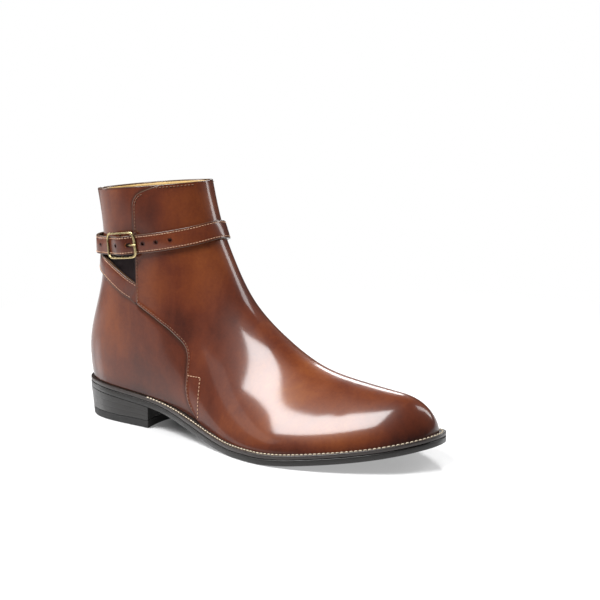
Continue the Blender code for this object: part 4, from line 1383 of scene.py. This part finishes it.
leather = burnished_leather("burnished_leather")
strap_leather = burnished_leather("strap_leather_finish", -0.04)
gore_cloth = elastic("gore_elastic")
lining_leather = plain_material("lining_leather", (0.38, 0.25, 0.085), 0.55, 0.14, 90.0, 1200.0, 0.00004)
sock_leather = plain_material("sock_leather", (0.45, 0.27, 0.10), 0.6, 0.14, 90.0)
edge_leather = sole_edge("sole_edge")
gloss = {"Coat_Weight": 0.2, "Coat_Roughness": 0.25}
welt_leather = plain_material("welt_leather", (0.016, 0.010, 0.008), 0.42, 0.3, 200.0, **gloss)
rubber = plain_material("heel_rubber", (0.008, 0.0075, 0.0075), 0.65, 0.2)
tan_thread = plain_material("tan_thread", (0.46, 0.28, 0.17), 0.6, 0.2, 900.0)
dark_thread = plain_material("dark_thread", (0.14, 0.065, 0.032), 0.6, 0.2, 900.0)
welt_thread = plain_material("welt_thread", (0.50, 0.42, 0.31), 0.6, 0.25, 900.0)
brass = old_brass("old_brass")

rest_of_piece(front_panel(leather), "upper_leather", "upper")
rest_of_piece(quarters(leather, gore_cloth), "upper_leather", "upper")
rest_of_piece(lining(lining_leather), "insole_leather", "upper")

rows = []
for side in (-1, 1):
    line = beside_line(EDGE_LINE, -THREAD_FROM_EDGE)
    line = line[(line[:, 1] > upper_edge(line[:, 0]) + 0.001) & (line[:, 0] < 0.134)]
    line = line[line[:, 1] < rim_height(line[:, 0]) - THREAD_BELOW_RIM]
    rim = np.linspace(0.0890, COLLAR["along"] - 0.0015, 40)
    rim = np.column_stack([rim, rim_height(rim) - THREAD_FROM_EDGE])
    rows += [on_panel(line, side), on_panel(rim, side)]
rest_of_piece(stitches("panel_stitches", rows, dark_thread), "upper_leather")
TAB_LINES = (((0.1205, 0.0442), (0.1330, 0.0442)), ((0.1330, 0.0442), (0.1338, 0.0160)))
rows = [on_panel(line, side) for line in TAB_LINES for side in (-1, 1)]
rest_of_piece(stitches("tab_stitches", rows, tan_thread), "upper_leather")

strap_route = Route()
rest_of_piece(strap_piece(strap_route, strap_leather), "strap_leather", "strap")
rest_of_piece(strap_stitches(strap_route, tan_thread), "strap_leather")
for piece, node in zip(buckle_pieces(strap_route, brass), ("buckle_frame", "buckle_frame", "buckle_prong")):
    rest_of_piece(piece, "buckle_brass", node)

profile = edge_profile(0.0, OUTSOLE_THICKNESS, EDGE_ROUND)
loops = [above_sole(sole_line(inset), height) for inset, height in profile]
outsole = loops_piece("outsole_leather", loops, edge_leather)
welt, welt_stitches = welt_pieces(welt_leather, welt_thread)
top_piece, heel = heel_pieces(edge_leather, rubber)
rest_of_piece(outsole, "sole_leather", "outsole")
rest_of_piece(welt, "sole_leather", "welt")
rest_of_piece(welt_stitches, "sole_leather")
rest_of_piece(heel, "sole_leather", "heel_block")
rest_of_piece(top_piece, "top_piece_rubber", "top_piece")
for node, material in (("insole", sock_leather), ("chape", strap_leather)):
    frame["nodes"][node].data.materials.clear()
    frame["nodes"][node].data.materials.append(material)


# Stage, lights and camera

FLOOR_RADIUS = 1.2
FLOOR_GLOW = 0.36
turn = np.arange(96) * 2 * np.pi / 96
floor_mesh = bpy.data.meshes.new("floor")
circle = [(FLOOR_RADIUS * math.cos(t), FLOOR_RADIUS * math.sin(t), 0) for t in turn]
floor_mesh.from_pydata(circle, [], [tuple(range(len(circle)))])
floor = linked("floor", floor_mesh)
floor.location = (0, 0, -0.0002)

# The paper glows a little, less under the arch as a painted shadow, and turns to even white further off
paper = Shader("white_floor")
arch = paper.add("ShaderNodeVectorMath", "Value", {0: paper.place, 1: (-0.040, 0.022, 0)}, operation="DISTANCE")
away = paper.add("ShaderNodeVectorMath", "Value", {0: paper.place}, operation="LENGTH")
paper.set(Base_Color=(0.50, 0.50, 0.503), Roughness=0.25, Specular_IOR_Level=0.5, Emission_Color=(1, 1, 1))
paper.set(Emission_Strength=paper.math("MULTIPLY", paper.span(arch, 0.035, 0.085), FLOOR_GLOW))
white = paper.add("ShaderNodeEmission", "Emission", {"Strength": 1.0})
blend = {0: paper.span(away, 0.28, 0.60), 1: paper.target.outputs["BSDF"], 2: white}
surface_in = paper.tree.nodes["Material Output"].inputs["Surface"]
paper.put(surface_in, paper.add("ShaderNodeMixShader", "Shader", blend))
floor_mesh.materials.append(paper.owner)

# White where the camera sees it, 0.4 as bright for diffuse light, and dim in reflections
sky = Nodes(bpy.data.worlds.new("studio"), "Background")
seen = sky.add("ShaderNodeLightPath", "Is Camera Ray", {})
strength = sky.math("MULTIPLY_ADD", seen, 0.94, 0.06)
strength = sky.math("MULTIPLY_ADD", seen.node.outputs["Is Diffuse Ray"], 0.34, strength)
sky.set(Color=(1, 1, 1), Strength=strength)
bpy.context.scene.world = sky.owner


def direction(azimuth, elevation):
    """A direction from the boot, in degrees: round from the outer side towards the toe, and up."""
    a, e = math.radians(azimuth), math.radians(elevation)
    return np.array([math.sin(a) * math.cos(e), -math.cos(a) * math.cos(e), math.sin(e)])


def softbox(name, azimuth, elevation, distance, wide, tall, power, roll=0.0):
    """A rectangular light in a direction, aimed at the boot's middle."""
    data = bpy.data.lights.new(name, "AREA")
    data.shape = "RECTANGLE"
    data.size = wide
    data.size_y = tall
    data.energy = power
    way = Vector(direction(azimuth, elevation))
    light = linked(name, data)
    light.location = Vector((0.03, -0.02, 0.06)) + way * distance
    light.rotation_euler = (-way).to_track_quat("-Z", "Y").to_euler()
    light.rotation_euler.rotate_axis("Z", math.radians(roll))


softbox("key_box", -28, 61, 1.15, 0.84, 0.50, 30, 36)
softbox("ridge_strip", 146, 36, 1.20, 0.30, 1.05, 8, 22)
softbox("back_box", -148, 27, 1.30, 0.35, 0.35, 4)
softbox("low_card", -46, 25, 1.20, 0.72, 0.28, 0.7)
softbox("left_card", -80, 13, 1.20, 0.30, 0.45, 2.4)

# The camera's place round a point of the boot, and how far its view is turned off that point, all in degrees
CAMERA = {"azimuth": 41.57, "elevation": 10.76, "distance": 1.0341, "turn": -2.87, "tilt": -0.66, "roll": -1.00}
CAMERA_AIM = np.array([0.130, 0.0, 0.080])
place = world(CAMERA_AIM + CAMERA["distance"] * direction(CAMERA["azimuth"], CAMERA["elevation"]))
forward = -direction(CAMERA["azimuth"] + CAMERA["turn"], CAMERA["elevation"] + CAMERA["tilt"])
right = unit(np.cross(forward, (0, 0, 1)))
up = np.cross(right, forward)
roll = math.radians(CAMERA["roll"])
right, up = right * math.cos(roll) + up * math.sin(roll), up * math.cos(roll) - right * math.sin(roll)
lens = bpy.data.cameras.new("camera")
lens.lens = 88.47
lens.sensor_width = 36
lens.clip_start = 0.01
camera = linked("camera", lens)
camera.matrix_world = Matrix([[right[i], up[i], -forward[i], place[i]] for i in range(3)] + [[0, 0, 0, 1]])
bpy.context.scene.camera = camera
bpy.context.scene.view_settings.view_transform = "Standard"
